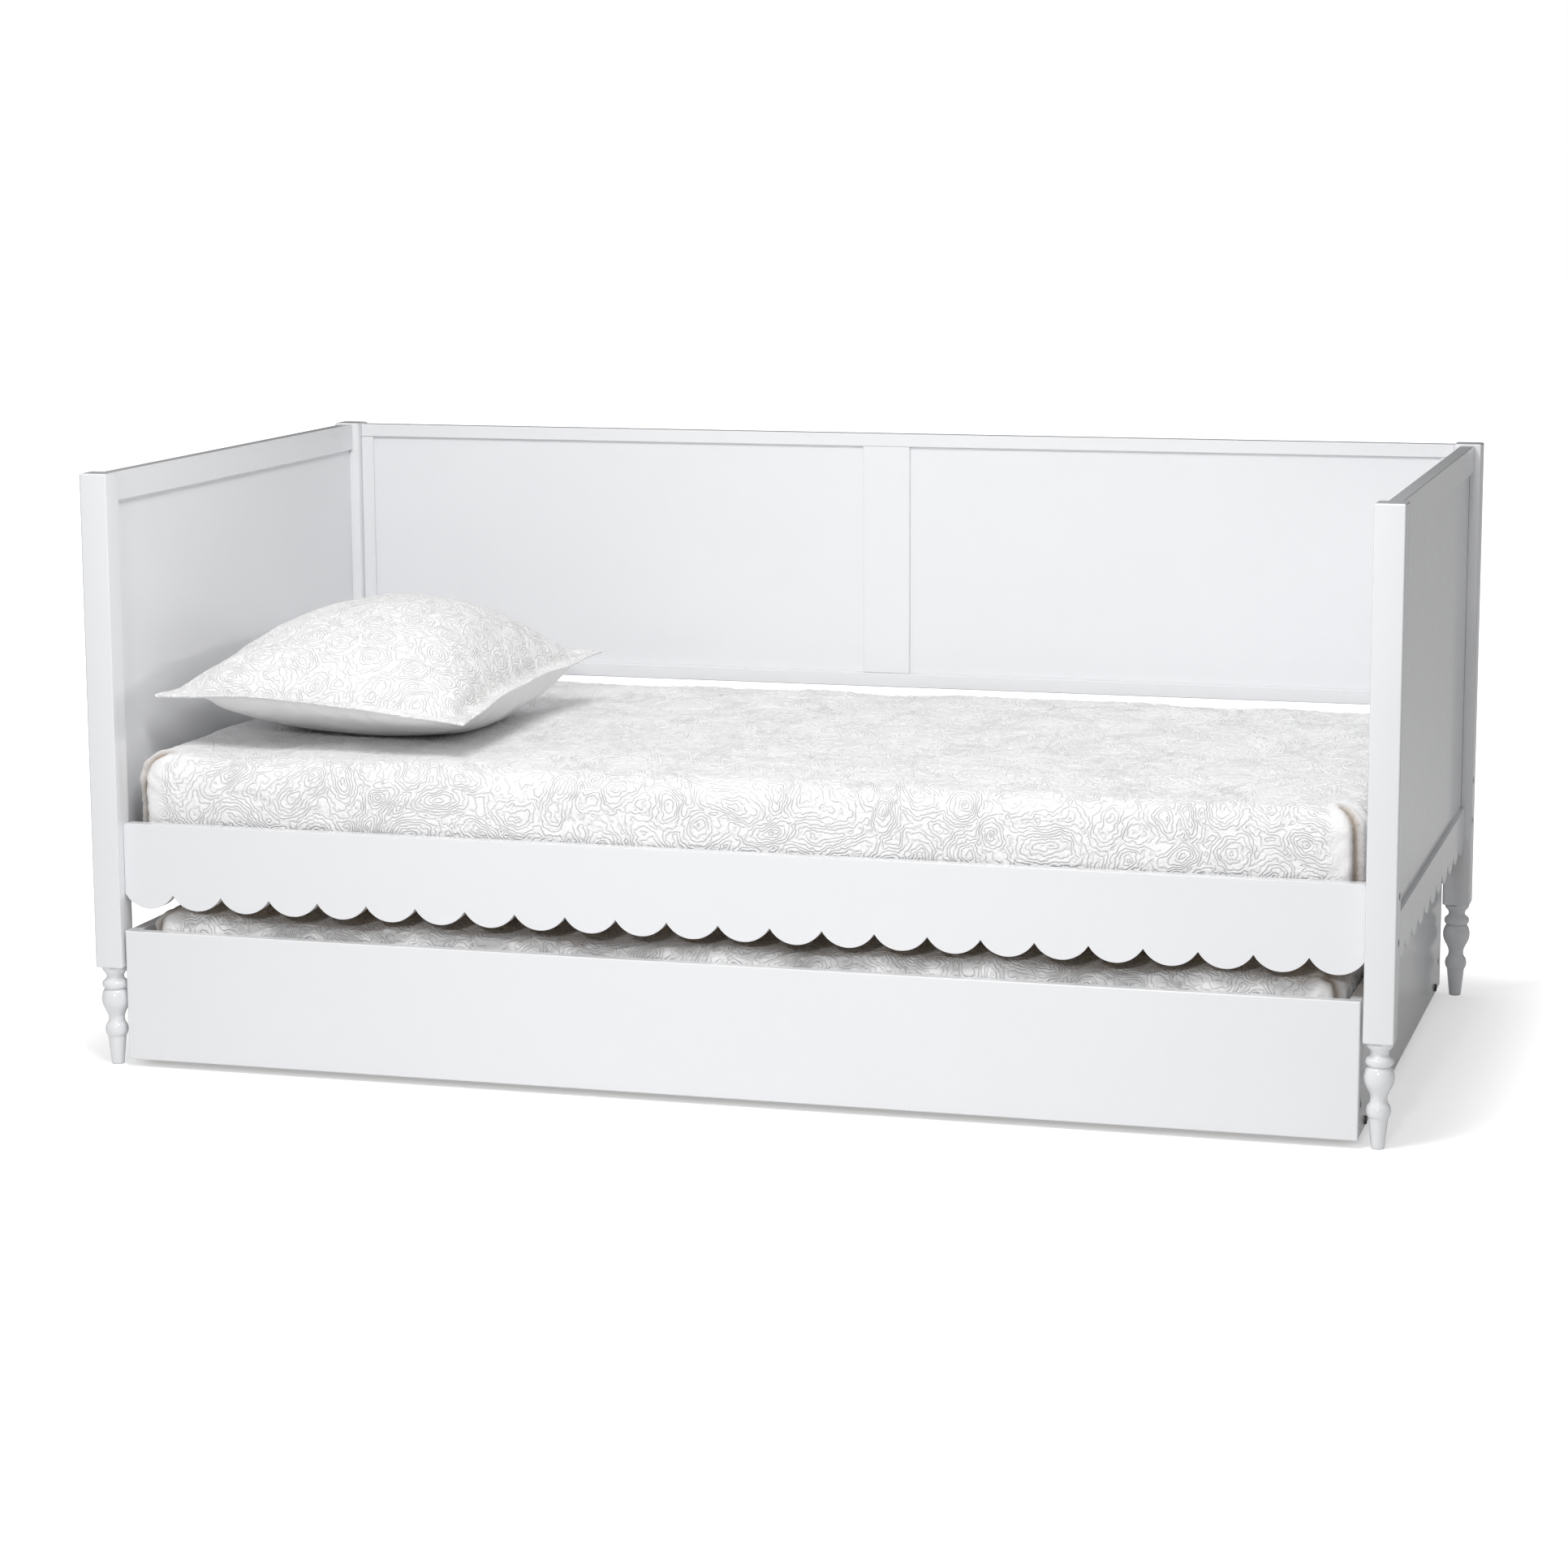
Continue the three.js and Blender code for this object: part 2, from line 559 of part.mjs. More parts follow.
const DECK_Z = [TRUNDLE_LEDGER_Z[1] + GAP, TRUNDLE_LEDGER_Z[1] + GAP + DECK_THICK];
const DECK_Y = [FRONT_INNER + GAP, BACK_INNER - GAP];
const deckWidth = (2 * SIDE_INNER) / DECK_BOARDS;
["left", "centre", "right"].forEach((where, i) => {
  const xRange = span((i - 1) * deckWidth, deckWidth - DECK_SPACE);
  piece(`trundle_deck_${where}`, board([xRange, DECK_Y, DECK_Z], DECK_EASE), PLYWOOD);
});

const trundleMiddle = middle([FRONT_INNER, BACK_INNER]);
const trundleBed = softBlock(TRUNDLE_MATTRESS, trundleMiddle, DECK_Z[1] + GAP);
piece("trundle_mattress", trundleBed, QUILTED_COTTON);

// ---------------------------------------------------------------- wheels on their axle bolts

// A wheel turned about its own axis: a hub that runs against the side panel, a web and a tread.
function wheelShape(xSide) {
  const tread = WHEEL_WIDTH / 2;
  const hub = tread + HUB_PROUD;
  const rim = WHEEL_RADIUS - RIM_THICK;
  const bore = AXLE_RADIUS + GAP;
  const profile = new THREE.Path();
  profile.moveTo(bore, -hub);
  profile.lineTo(HUB_RADIUS, -hub);
  profile.lineTo(HUB_RADIUS, -WEB_HALF);
  profile.lineTo(rim, -WEB_HALF);
  profile.lineTo(rim, -tread);
  profile.lineTo(WHEEL_RADIUS - TREAD_EASE, -tread);
  profile.lineTo(WHEEL_RADIUS, -tread + TREAD_EASE);
  profile.lineTo(WHEEL_RADIUS, tread - TREAD_EASE);
  profile.lineTo(WHEEL_RADIUS - TREAD_EASE, tread);
  profile.lineTo(rim, tread);
  profile.lineTo(rim, WEB_HALF);
  profile.lineTo(HUB_RADIUS, WEB_HALF);
  profile.lineTo(HUB_RADIUS, hub);
  profile.lineTo(bore, hub);
  profile.lineTo(bore, -hub);
  const wheel = new THREE.LatheGeometry(profile.getPoints(1), 20);
  wheel.rotateZ(Math.PI / 2);
  wheel.translate(xSide * (SIDE_INNER - GAP - hub), 0, WHEEL_RADIUS);
  return wheel;
}

for (const [face, ySide] of FACES) {
  for (const [end, xSide] of ENDS) {
    const y = ySide * WHEEL_Y;
    const wheel = wheelShape(xSide);
    wheel.translate(0, y, 0);
    piece(`wheel_${face}_${end}`, wheel, WHEEL_PLASTIC);
    const faceX = TRUNDLE_X;
    const headX = between(xSide * faceX, xSide * (faceX + AXLE_HEAD));
    const shankX = between(xSide * (faceX + 1), xSide * (faceX + AXLE_HEAD - AXLE_LENGTH));
    const head = bar(BOLT_HEAD_RADIUS, headX, y, WHEEL_RADIUS);
    const shank = bar(AXLE_RADIUS, shankX, y, WHEEL_RADIUS);
    piece(`axle_bolt_${face}_${end}`, join(head, [shank]), DARK_STEEL);
  }
}

export default bed;
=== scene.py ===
# %% [markdown]
# # A trundle bed, finished in Blender
# The bed's frame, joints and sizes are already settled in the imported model. This notebook gives it
# the looks: painted boards with soft edges, turned feet, quilted bedding and small fasteners.
# Everything is in metres, +X to the right end, +Y to the back and +Z up.

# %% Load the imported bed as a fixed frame
import math

import bmesh
import bpy
import numpy as np
from mathutils import Matrix, Vector


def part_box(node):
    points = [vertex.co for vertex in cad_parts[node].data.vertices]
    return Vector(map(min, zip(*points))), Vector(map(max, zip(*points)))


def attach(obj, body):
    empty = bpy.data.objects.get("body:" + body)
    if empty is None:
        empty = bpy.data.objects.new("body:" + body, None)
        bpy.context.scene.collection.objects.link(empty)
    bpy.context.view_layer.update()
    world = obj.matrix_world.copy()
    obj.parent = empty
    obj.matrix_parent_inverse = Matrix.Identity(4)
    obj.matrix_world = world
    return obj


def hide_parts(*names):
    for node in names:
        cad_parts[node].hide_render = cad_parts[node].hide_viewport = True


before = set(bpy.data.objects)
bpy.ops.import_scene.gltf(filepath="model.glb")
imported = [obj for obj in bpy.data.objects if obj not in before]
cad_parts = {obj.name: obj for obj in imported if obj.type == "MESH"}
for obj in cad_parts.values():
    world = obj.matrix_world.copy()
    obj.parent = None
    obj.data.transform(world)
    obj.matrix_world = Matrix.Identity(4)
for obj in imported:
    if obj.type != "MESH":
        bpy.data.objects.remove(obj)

scene = bpy.context.scene
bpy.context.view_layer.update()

# %% [markdown]
# ## Camera and light
# The camera comes first, because it decides how fine each surface has to be. A long lens from a
# little above the bed's rails keeps its upright edges upright. The light is that of a white studio:
# a bright surround, lamps in front, and less light from the right, so that the right end reads
# darker than the front.

# %% Camera
CAMERA_PLACE = Vector((1.642, -5.933, 1.461))
CAMERA_TURN = 0.2766
CAMERA_TILT = 0.1702
CAMERA_ROLL = 0.0038


def make_camera():
    data = bpy.data.cameras.new("camera")
    data.lens = 88.9
    data.sensor_width = 36
    camera = bpy.data.objects.new("camera", data)
    scene.collection.objects.link(camera)
    turn = Matrix.Rotation(CAMERA_TURN, 4, "Z")
    tilt = Matrix.Rotation(math.pi / 2 - CAMERA_TILT, 4, "X")
    roll = Matrix.Rotation(-CAMERA_ROLL, 4, "Z")
    camera.matrix_world = Matrix.Translation(CAMERA_PLACE) @ turn @ tilt @ roll
    scene.camera = camera
    return camera


camera = make_camera()
print("camera at", tuple(round(x, 3) for x in camera.location), "lens", camera.data.lens)

# %% [markdown]
# ## Shader maths
# A socket wrapped in a small class can be added, multiplied and compared like a number, and each
# operator adds one Math node. All other nodes come from one method that first sets a node's
# options and then its sockets. The same method serves geometry trees.

# %% Node helpers
class Value:
    """A socket of a node tree that takes part in sums."""

    def __init__(self, tree, socket):
        self.tree = tree
        self.socket = socket

    def math(self, operation, *others):
        sockets = dict(enumerate((self, *others)))
        return self.tree.value("Math", {"operation": operation}, sockets)

    def flipped(self, operation, other):
        return self.tree.value("Math", {"operation": operation}, {0: other, 1: self})

    def __add__(self, other):
        return self.math("ADD", other)

    __radd__ = __add__

    def __mul__(self, other):
        return self.math("MULTIPLY", other)

    __rmul__ = __mul__

    def __sub__(self, other):
        return self.math("SUBTRACT", other)

    def __rsub__(self, other):
        return self.flipped("SUBTRACT", other)

    def __truediv__(self, other):
        return self.math("DIVIDE", other)

    def __rtruediv__(self, other):
        return self.flipped("DIVIDE", other)

    def __gt__(self, other):
        return self.math("GREATER_THAN", other)

    def between(self, low, high):
        """0 below low and 1 above high, with a smooth step between them."""
        sockets = {0: self, 1: low, 2: high}
        return self.tree.value("MapRange", {"interpolation_type": "SMOOTHSTEP"}, sockets)


SHARED_NODES = ("Math", "MapRange", "CombineXYZ", "SeparateXYZ", "TexNoise")


class Tree:
    """A shader or geometry tree, and the one way that nodes are added to it."""

    def __init__(self, tree):
        self.tree = tree
        self.kind = "Shader" if tree.bl_idname == "ShaderNodeTree" else "Geometry"

    def add(self, name, settings=None, sockets=None):
        if name in SHARED_NODES:
            name = "ShaderNode" + name
        elif "Node" not in name:
            name = self.kind + "Node" + name
        made = self.tree.nodes.new(name)
        for key, value in (settings or {}).items():
            setattr(made, key, value)
        for key, value in (sockets or {}).items():
            self.feed(made.inputs[key], value)
        return made

    def feed(self, socket, value):
        if isinstance(value, Value):
            self.tree.links.new(value.socket, socket)
        elif isinstance(value, bpy.types.NodeSocket):
            self.tree.links.new(value, socket)
        else:
            socket.default_value = value

    def value(self, name, settings=None, sockets=None, output=0):
        return Value(self, self.add(name, settings, sockets).outputs[output])

    def axes(self, vector):
        parts = self.add("SeparateXYZ", None, {0: vector})
        return [Value(self, part) for part in parts.outputs]


def new_material(name):
    """An empty material, its tree, its Object coordinates and its shader."""
    material = bpy.data.materials.new(name)
    material.use_nodes = True
    material.node_tree.nodes.clear()
    tree = Tree(material.node_tree)
    shader = tree.add("BsdfPrincipled")
    tree.add("OutputMaterial", None, {"Surface": shader.outputs["BSDF"]})
    place = tree.add("TexCoord").outputs["Object"]
    return material, tree, place, shader


def noise(tree, place, scale, detail=2.0, **more):
    sockets = {"Vector": place, "Scale": scale, "Detail": detail, **more}
    return tree.value("TexNoise", None, sockets)


def set_shader(tree, shader, **sockets):
    for name, value in sockets.items():
        tree.feed(shader.inputs[name.replace("_", " ")], value)


def bump(tree, shader, height, distance, strength=1.0):
    """Height, in units of distance in metres, drives the surface normal."""
    sockets = {"Height": height, "Distance": distance, "Strength": strength}
    tree.feed(shader.inputs["Normal"], tree.add("Bump", None, sockets).outputs["Normal"])


def blend_colours(tree, factor, first, second):
    settings = {"data_type": "RGBA"}
    sockets = {"Factor": factor, 6: (*first, 1.0), 7: (*second, 1.0)}
    return tree.add("Mix", settings, sockets).outputs[2]


# %% [markdown]
# ## Studio
# A photographer would stand the bed on a white sweep. A flat pale floor and a world that is bright
# above, soft on the left and in front and dim on the right give that light with few objects. A far
# lamp in front casts the pillow's shadow, and a nearer one over the front edge fills the inside.
# The floor glows a little for the camera alone, more so away from the bed, so that only a light
# shadow stays round the feet.

# %% Floor, world and lamps
FLOOR_HALF = 30.0
FOOTPRINT = (1.01, 0.54)
FADE_WIDTH = 0.30
GLOW_BELOW = 0.45


def make_floor():
    mesh = bpy.data.meshes.new("floor")
    h = FLOOR_HALF
    mesh.from_pydata([(-h, -h, 0), (h, -h, 0), (h, h, 0), (-h, h, 0)], [], [(0, 1, 2, 3)])
    floor = bpy.data.objects.new("floor", mesh)
    scene.collection.objects.link(floor)
    material, tree, place, shader = new_material("floor_white")
    speck = noise(tree, place, 3.0)
    colour = blend_colours(tree, speck, (0.89, 0.89, 0.89), (0.91, 0.91, 0.91))
    x, y, _ = tree.axes(place)
    beside = x.math("ABSOLUTE") - FOOTPRINT[0]
    before = y.math("ABSOLUTE") - FOOTPRINT[1]
    far = beside.math("MAXIMUM", before).between(0.0, FADE_WIDTH)
    seen = tree.value("LightPath", output="Is Camera Ray")
    glow = (far * (1 - GLOW_BELOW) + GLOW_BELOW) * seen
    glow = blend_colours(tree, glow, (0, 0, 0), (1, 1, 1))
    set_shader(tree, shader, Base_Color=colour, Roughness=0.9)
    set_shader(tree, shader, Emission_Color=glow, Emission_Strength=0.9)
    mesh.materials.append(material)
    return floor


def make_world():
    world = bpy.data.worlds.new("studio")
    world.use_nodes = True
    world.node_tree.nodes.clear()
    tree = Tree(world.node_tree)
    across, back, up = tree.axes(tree.add("TexCoord").outputs["Generated"])
    from_left = (across * -1).between(0.3, 0.9)
    from_front = (back * -1).between(0.2, 0.8) * (1 - up.between(0.2, 0.6))
    from_right = across.between(0.05, 0.6) * (1 - up.between(0.45, 1.0))
    from_above = up.between(0.0, 0.9) * (1 - from_right * 0.45)
    light = from_above * 0.62 + from_left * 0.20 + from_front * 0.20
    seen = tree.value("LightPath", output="Is Camera Ray")
    strength = light * (1 - seen) + seen
    background = tree.add("Background", None, {"Color": (1, 1, 1, 1), "Strength": strength})
    tree.add("OutputWorld", None, {"Surface": background.outputs[0]})
    scene.world = world


def make_lamp(name, place, aim, size, watts):
    data = bpy.data.lights.new(name, "AREA")
    data.shape = "SQUARE"
    data.size = size
    data.energy = watts
    lamp = bpy.data.objects.new(name, data)
    lamp.location = place
    lamp.rotation_euler = (Vector(aim) - Vector(place)).to_track_quat("-Z", "Y").to_euler()
    scene.collection.objects.link(lamp)


make_floor()
make_world()
make_lamp("key_lamp", (0.9, -8.4, 3.3), (0.0, 0.0, 0.4), 0.5, 142)
make_lamp("inside_lamp", (0.1, -1.6, 2.5), (-0.3, 0.1, 0.6), 0.8, 36)
scene.view_settings.view_transform = "Standard"
print("studio: floor, world and two lamps")

# %% [markdown]
# ## Finishes of the boards
# The frame is brushed and sprayed with white satin enamel. Up close such paint isn't flat: it has a
# faint orange peel and its gloss drifts a little. Two noises make both, one on Roughness and one on
# a very shallow Bump. Slats, ledgers and bearers are bare pine, whose grain runs along the piece,
# so a stretched noise is turned to the piece's own direction.

# %% White enamel
PAINT_COLOUR = (0.845, 0.852, 0.868)
PAINT_SHADE = (0.825, 0.832, 0.85)


def make_white_paint():
    material, tree, place, shader = new_material("white_paint")
    drift = noise(tree, place, 5.0)
    brush = noise(tree, place, 60.0, 3.0)
    peel = noise(tree, place, 380.0)
    colour = blend_colours(tree, drift, PAINT_COLOUR, PAINT_SHADE)
    set_shader(tree, shader, Base_Color=colour, Roughness=0.15 + drift * 0.04 + brush * 0.05)
    set_shader(tree, shader, Coat_Weight=0.35, Coat_Roughness=0.07)
    bump(tree, shader, peel * 0.6 + brush * 0.4, 0.00006)
    return material


white_paint = make_white_paint()
print("white enamel:", len(white_paint.node_tree.nodes), "nodes")

# %% Bare wood
def make_wood(name, axis, light, dark, ring_scale=26.0):
    """Wood whose grain runs along one axis, 0 for X and 1 for Y."""
    material, tree, place, shader = new_material(name)
    stretch = [1.0, 1.0, 1.0]
    stretch[axis] = 0.06
    along = tree.add("Mapping", None, {"Vector": place, "Scale": stretch}).outputs[0]
    wander = noise(tree, along, 9.0, 3.0)
    rings = (wander * ring_scale).math("SINE") * 0.5 + 0.5
    pores = noise(tree, along, 420.0, 3.0)
    tone = rings * 0.6 + pores * 0.4
    colour = blend_colours(tree, tone, light, dark)
    set_shader(tree, shader, Base_Color=colour, Roughness=0.62 + pores * 0.2)
    bump(tree, shader, pores + rings * 0.5, 0.00015)
    return material


PINE_LIGHT = (0.72, 0.53, 0.31)
PINE_DARK = (0.56, 0.36, 0.18)
pine_along_x = make_wood("pine_along_x", 0, PINE_LIGHT, PINE_DARK)
pine_along_y = make_wood("pine_along_y", 1, PINE_LIGHT, PINE_DARK)
plywood = make_wood("plywood", 0, (0.66, 0.47, 0.27), (0.55, 0.37, 0.2), 14.0)
print("wood finishes:", pine_along_x.name, pine_along_y.name, plywood.name)

# %% Steel and wheel plastic
def make_dark_steel():
    material, tree, place, shader = new_material("dark_steel")
    stain = noise(tree, place, 240.0, 3.0)
    colour = blend_colours(tree, stain, (0.07, 0.065, 0.06), (0.13, 0.125, 0.12))
    set_shader(tree, shader, Base_Color=colour, Roughness=0.32 + stain * 0.2, Metallic=0.9)
    bump(tree, shader, noise(tree, place, 900.0), 0.00002)
    return material


def make_wheel_plastic():
    material, tree, place, shader = new_material("wheel_plastic")
    scuff = noise(tree, place, 90.0, 4.0)
    colour = blend_colours(tree, scuff, (0.018, 0.018, 0.02), (0.05, 0.05, 0.052))
    set_shader(tree, shader, Base_Color=colour, Roughness=0.42 + scuff * 0.25)
    bump(tree, shader, noise(tree, place, 700.0), 0.00005)
    return material


dark_steel = make_dark_steel()
wheel_plastic = make_wheel_plastic()
print("small parts:", dark_steel.name, wheel_plastic.name)

# %% [markdown]
# ## Boards that stay as they are
# Flat rails, panels, stiles, slats and ledgers already have their true shape and eased edges in the
# frame, so they only take a finish. Each name says what the board is made of and which way it runs.

# %% Give each flat board its finish
def finish_of(name):
    if name.startswith(("bed_slat", "trundle_bearer")):
        return pine_along_y
    if name.startswith(("bed_ledger", "trundle_ledger")):
        return pine_along_x
    if name.startswith("trundle_deck"):
        return plywood
    if name.startswith(("axle_bolt", "apron_bolt")):
        return dark_steel
    return white_paint


for name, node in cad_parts.items():
    node.data.materials.clear()
    node.data.materials.append(finish_of(name))
print("finished boards:", len(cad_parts))

# %% [markdown]
# ## Building meshes
# New pieces come from three small helpers. One turns lists of points and faces into an object whose
# faces point outwards, one joins closed shapes into one with a Boolean, and one rounds the edges
# with a Bevel that spares the shallow angles of a turned profile.

# %% Mesh helpers
def link_object(name, mesh, finish=None):
    made = bpy.data.objects.new(name, mesh)
    scene.collection.objects.link(made)
    if finish:
        mesh.materials.clear()
        mesh.materials.append(finish)
    return made


def closed_object(name, points, faces, finish):
    mesh = bpy.data.meshes.new(name)
    mesh.from_pydata([tuple(point) for point in points], [], faces)
    work = bmesh.new()
    work.from_mesh(mesh)
    bmesh.ops.remove_doubles(work, verts=work.verts, dist=1e-6)
    bmesh.ops.recalc_face_normals(work, faces=work.faces)
    work.to_mesh(mesh)
    work.free()
    return link_object(name, mesh, finish)


def block(name, low, high, finish):
    corners = [(x, y, z) for x in (low[0], high[0]) for y in (low[1], high[1])
               for z in (low[2], high[2])]
    faces = [(0, 1, 3, 2), (4, 6, 7, 5), (0, 4, 5, 1), (2, 3, 7, 6), (0, 2, 6, 4), (1, 5, 7, 3)]
    return closed_object(name, corners, faces, finish)


def bake_modifiers(piece):
    """Turn the object's modified shape into its own plain mesh."""
    ready = piece.evaluated_get(bpy.context.evaluated_depsgraph_get())
    mesh = bpy.data.meshes.new_from_object(ready)
    piece.modifiers.clear()
    old = piece.data
    piece.data = mesh
    bpy.data.meshes.remove(old)
    return piece


def combine(piece, tools, operation):
    for tool in tools:
        modifier = piece.modifiers.new("combine", "BOOLEAN")
        modifier.operation = operation
        modifier.solver = "EXACT"
        modifier.object = tool
        bake_modifiers(piece)
        bpy.data.objects.remove(tool)
    return piece


def shade_flat_faces(piece):
    """Smooth shading that still keeps broad faces flat and hard edges sharp."""
    piece.data.shade_smooth()
    piece.data.set_sharp_from_angle(angle=math.radians(50))
    weighted = piece.modifiers.new("flat_faces", "WEIGHTED_NORMAL")
    weighted.keep_sharp = True
    return bake_modifiers(piece)


def soften(piece, width):
    """Round the edges that are sharper than the steps of a curve."""
    bevel = piece.modifiers.new("edges", "BEVEL")
    bevel.width = width
    bevel.segments = 2
    bevel.limit_method = "ANGLE"
    bevel.angle_limit = math.radians(35)
    bake_modifiers(piece)
    return shade_flat_faces(piece)


def settle(piece, body, slot, *nodes):
    """Say which body carries the piece and the frame parts it stands for; its finish slot argument
    is not used.
    """
    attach(piece, body)
    if nodes:
        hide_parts(*nodes)
    return piece


def middle_of(node):
    low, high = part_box(node)
    return (low + high) / 2


def outer_face(node, side):
    """The X of a part's face towards the end of the bed that lies on the side -1 or 1."""
    low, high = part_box(node)
    return high.x if side > 0 else low.x


def count_triangles(piece):
    piece.data.calc_loop_triangles()
    return len(piece.data.loop_triangles)


ENDS = (("left", -1), ("right", 1))
CORNERS = [(face, end, side) for face in ("front", "back") for end, side in ENDS]
print("helpers ready,", len(CORNERS), "corners")

# %% [markdown]
# ## Corner posts on turned feet
# A post is one stick of wood: square above, and turned on a lathe below. The square part with its
# mortises and bolt holes comes from a merged copy of the frame's post. The foot is made again from
# its profile with far more facets, and the two are joined into one solid.

# %% The foot's profile
SQUARE_BOTTOM = 0.157
FOOT_START = (0.0097, 0.0015)
FOOT_CURVES = [
    ((0.0112, 0.016), (0.0128, 0.031), (0.0143, 0.0455)),
    ((0.0145, 0.0462), (0.0149, 0.0467), (0.0154, 0.047)),
    ((0.0186, 0.051), (0.0186, 0.061), (0.0156, 0.0645)),
    ((0.0124, 0.068), (0.0118, 0.074), (0.0128, 0.078)),
    ((0.015, 0.087), (0.0223, 0.093), (0.0223, 0.105)),
    ((0.0223, 0.113), (0.019, 0.120), (0.016, 0.1215)),
    ((0.0219, 0.123), (0.022, 0.132), (0.018, 0.1345)),
    ((0.014, 0.137), (0.0137, 0.139), (0.0138, 0.142)),
    ((0.014, 0.147), (0.0196, 0.148), (0.020, 0.153)),
]


def bezier_points(start, curves, steps):
    points = [Vector(start)]
    for curve in curves:
        a = points[-1]
        b, c, d = (Vector(point) for point in curve)
        for k in range(1, steps + 1):
            t = k / steps
            s = 1 - t
            points.append(a * s**3 + b * 3 * s * s * t + c * 3 * s * t * t + d * t**3)
    return points


def ring_faces(rows, sides, closed=False):
    """Quads between neighbouring rings of points, and from the last ring to the first if closed."""
    faces = []
    for row in range(rows if closed else rows - 1):
        above = (row + 1) % rows * sides
        for k in range(sides):
            turn = (k + 1) % sides
            faces.append((row * sides + k, row * sides + turn, above + turn, above + k))
    return faces


def turned(name, profile, sides, centre, finish, axis=2):
    """A closed solid of revolution from (radius, height) points; its two ends are capped."""
    across = [i for i in range(3) if i != axis]
    points = []
    for radius, height in profile:
        for k in range(sides):
            turn = 2 * math.pi * k / sides
            point = Vector(centre)
            point[across[0]] += radius * math.cos(turn)
            point[across[1]] += radius * math.sin(turn)
            point[axis] += height
            points.append(point)
    rows = len(profile)
    caps = [tuple(range(sides))[::-1], tuple((rows - 1) * sides + k for k in range(sides))]
    return closed_object(name, points, caps + ring_faces(rows, sides), finish)


# %% The posts
FOOT_SIDES = 56
FOOT_STEPS = 7


def make_post(node):
    centre = middle_of(node)
    centre.z = 0
    work = bmesh.new()
    work.from_mesh(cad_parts[node].data)
    bmesh.ops.remove_doubles(work, verts=work.verts, dist=1e-6)
    everything = work.verts[:] + work.edges[:] + work.faces[:]
    cut_height = SQUARE_BOTTOM + 0.0003
    bmesh.ops.bisect_plane(
        work, geom=everything, plane_co=(0, 0, cut_height), plane_no=(0, 0, -1), clear_outer=True
    )
    rim = [edge for edge in work.edges if edge.is_boundary]
    bmesh.ops.triangle_fill(work, use_beauty=True, edges=rim)
    bmesh.ops.recalc_face_normals(work, faces=work.faces)
    bmesh.ops.dissolve_limit(
        work, angle_limit=math.radians(0.5), verts=work.verts, edges=work.edges
    )
    mesh = bpy.data.meshes.new(node)
    work.to_mesh(mesh)
    work.free()
    post = link_object("turned_" + node, mesh, white_paint)
    profile = [(0.0085, 0.0), *bezier_points(FOOT_START, FOOT_CURVES, FOOT_STEPS)]
    profile.append((0.020, SQUARE_BOTTOM + 0.006))
    foot = turned("foot", profile, FOOT_SIDES, centre, white_paint)
    combine(post, [foot], "UNION")
    shade_flat_faces(post)
    return settle(post, "bed_frame", "white_paint", node)


for face, end, _ in CORNERS:
    post = make_post(f"post_{face}_{end}")
    print(post.name, count_triangles(post), "triangles")

# %% [markdown]
# ## Trees of Geometry Nodes
# Parts that repeat or follow a rule are grown by a tree with named sizes. The class below makes
# such a tree, closes it with Realize Instances and Set Material, and turns its result into a
# plain mesh.

# %% A recipe
SOCKET_KINDS = {float: "NodeSocketFloat", int: "NodeSocketInt"}


class Recipe(Tree):
    """A Geometry Nodes tree whose sizes are named inputs."""

    def __init__(self, name, inputs):
        super().__init__(bpy.data.node_groups.new(name, "GeometryNodeTree"))
        self.identifiers = {}
        self.offer("Geometry", "NodeSocketGeometry")
        for label, default in inputs.items():
            self.offer(label, SOCKET_KINDS[type(default)]).default_value = default
        self.offer("Finish", "NodeSocketMaterial")
        self.tree.interface.new_socket(
            "Geometry", in_out="OUTPUT", socket_type="NodeSocketGeometry"
        )
        self.given = self.add("NodeGroupInput")

    def offer(self, label, kind):
        socket = self.tree.interface.new_socket(label, in_out="INPUT", socket_type=kind)
        self.identifiers[label] = socket.identifier
        return socket

    def __getitem__(self, label):
        return Value(self, self.given.outputs[label])

    def shape(self, name, settings=None, sockets=None):
        return self.add(name, settings, sockets).outputs[0]

    def vector(self, x=0.0, y=0.0, z=0.0):
        return self.shape("CombineXYZ", None, {0: x, 1: y, 2: z})

    def moved(self, geometry, x=0.0, y=0.0, z=0.0):
        place = self.vector(x, y, z)
        return self.shape("Transform", None, {"Geometry": geometry, "Translation": place})

    def join(self, *shapes):
        made = self.add("JoinGeometry")
        for shape in shapes:
            self.tree.links.new(shape, made.inputs[0])
        return made.outputs[0]

    def cut(self, solid, tool):
        settings = {"operation": "DIFFERENCE", "solver": "EXACT"}
        return self.shape("MeshBoolean", settings, {"Mesh 1": solid, "Mesh 2": tool})

    def close(self, geometry):
        real = self.shape("RealizeInstances", None, {0: geometry})
        finished = self.shape("SetMaterial", None, {"Geometry": real, "Material": self["Finish"]})
        output = self.add("NodeGroupOutput")
        self.tree.links.new(finished, output.inputs[0])

    def grow(self, name, finish, points=(), aims=(), **sizes):
        """The plain mesh object that this recipe makes, on points if it needs any."""
        mesh = bpy.data.meshes.new(name)
        mesh.from_pydata([tuple(point) for point in points], [], [])
        if aims:
            attribute = mesh.attributes.new("aim", "FLOAT_VECTOR", "POINT")
            attribute.data.foreach_set("vector", [x for aim in aims for x in aim])
        piece = link_object(name, mesh)
        modifier = piece.modifiers.new(name, "NODES")
        modifier.node_group = self.tree
        for label, value in sizes.items():
            modifier[self.identifiers[label.replace("_", " ")]] = value
        modifier[self.identifiers["Finish"]] = finish
        return bake_modifiers(piece)


print("recipes hold their sizes as named inputs")

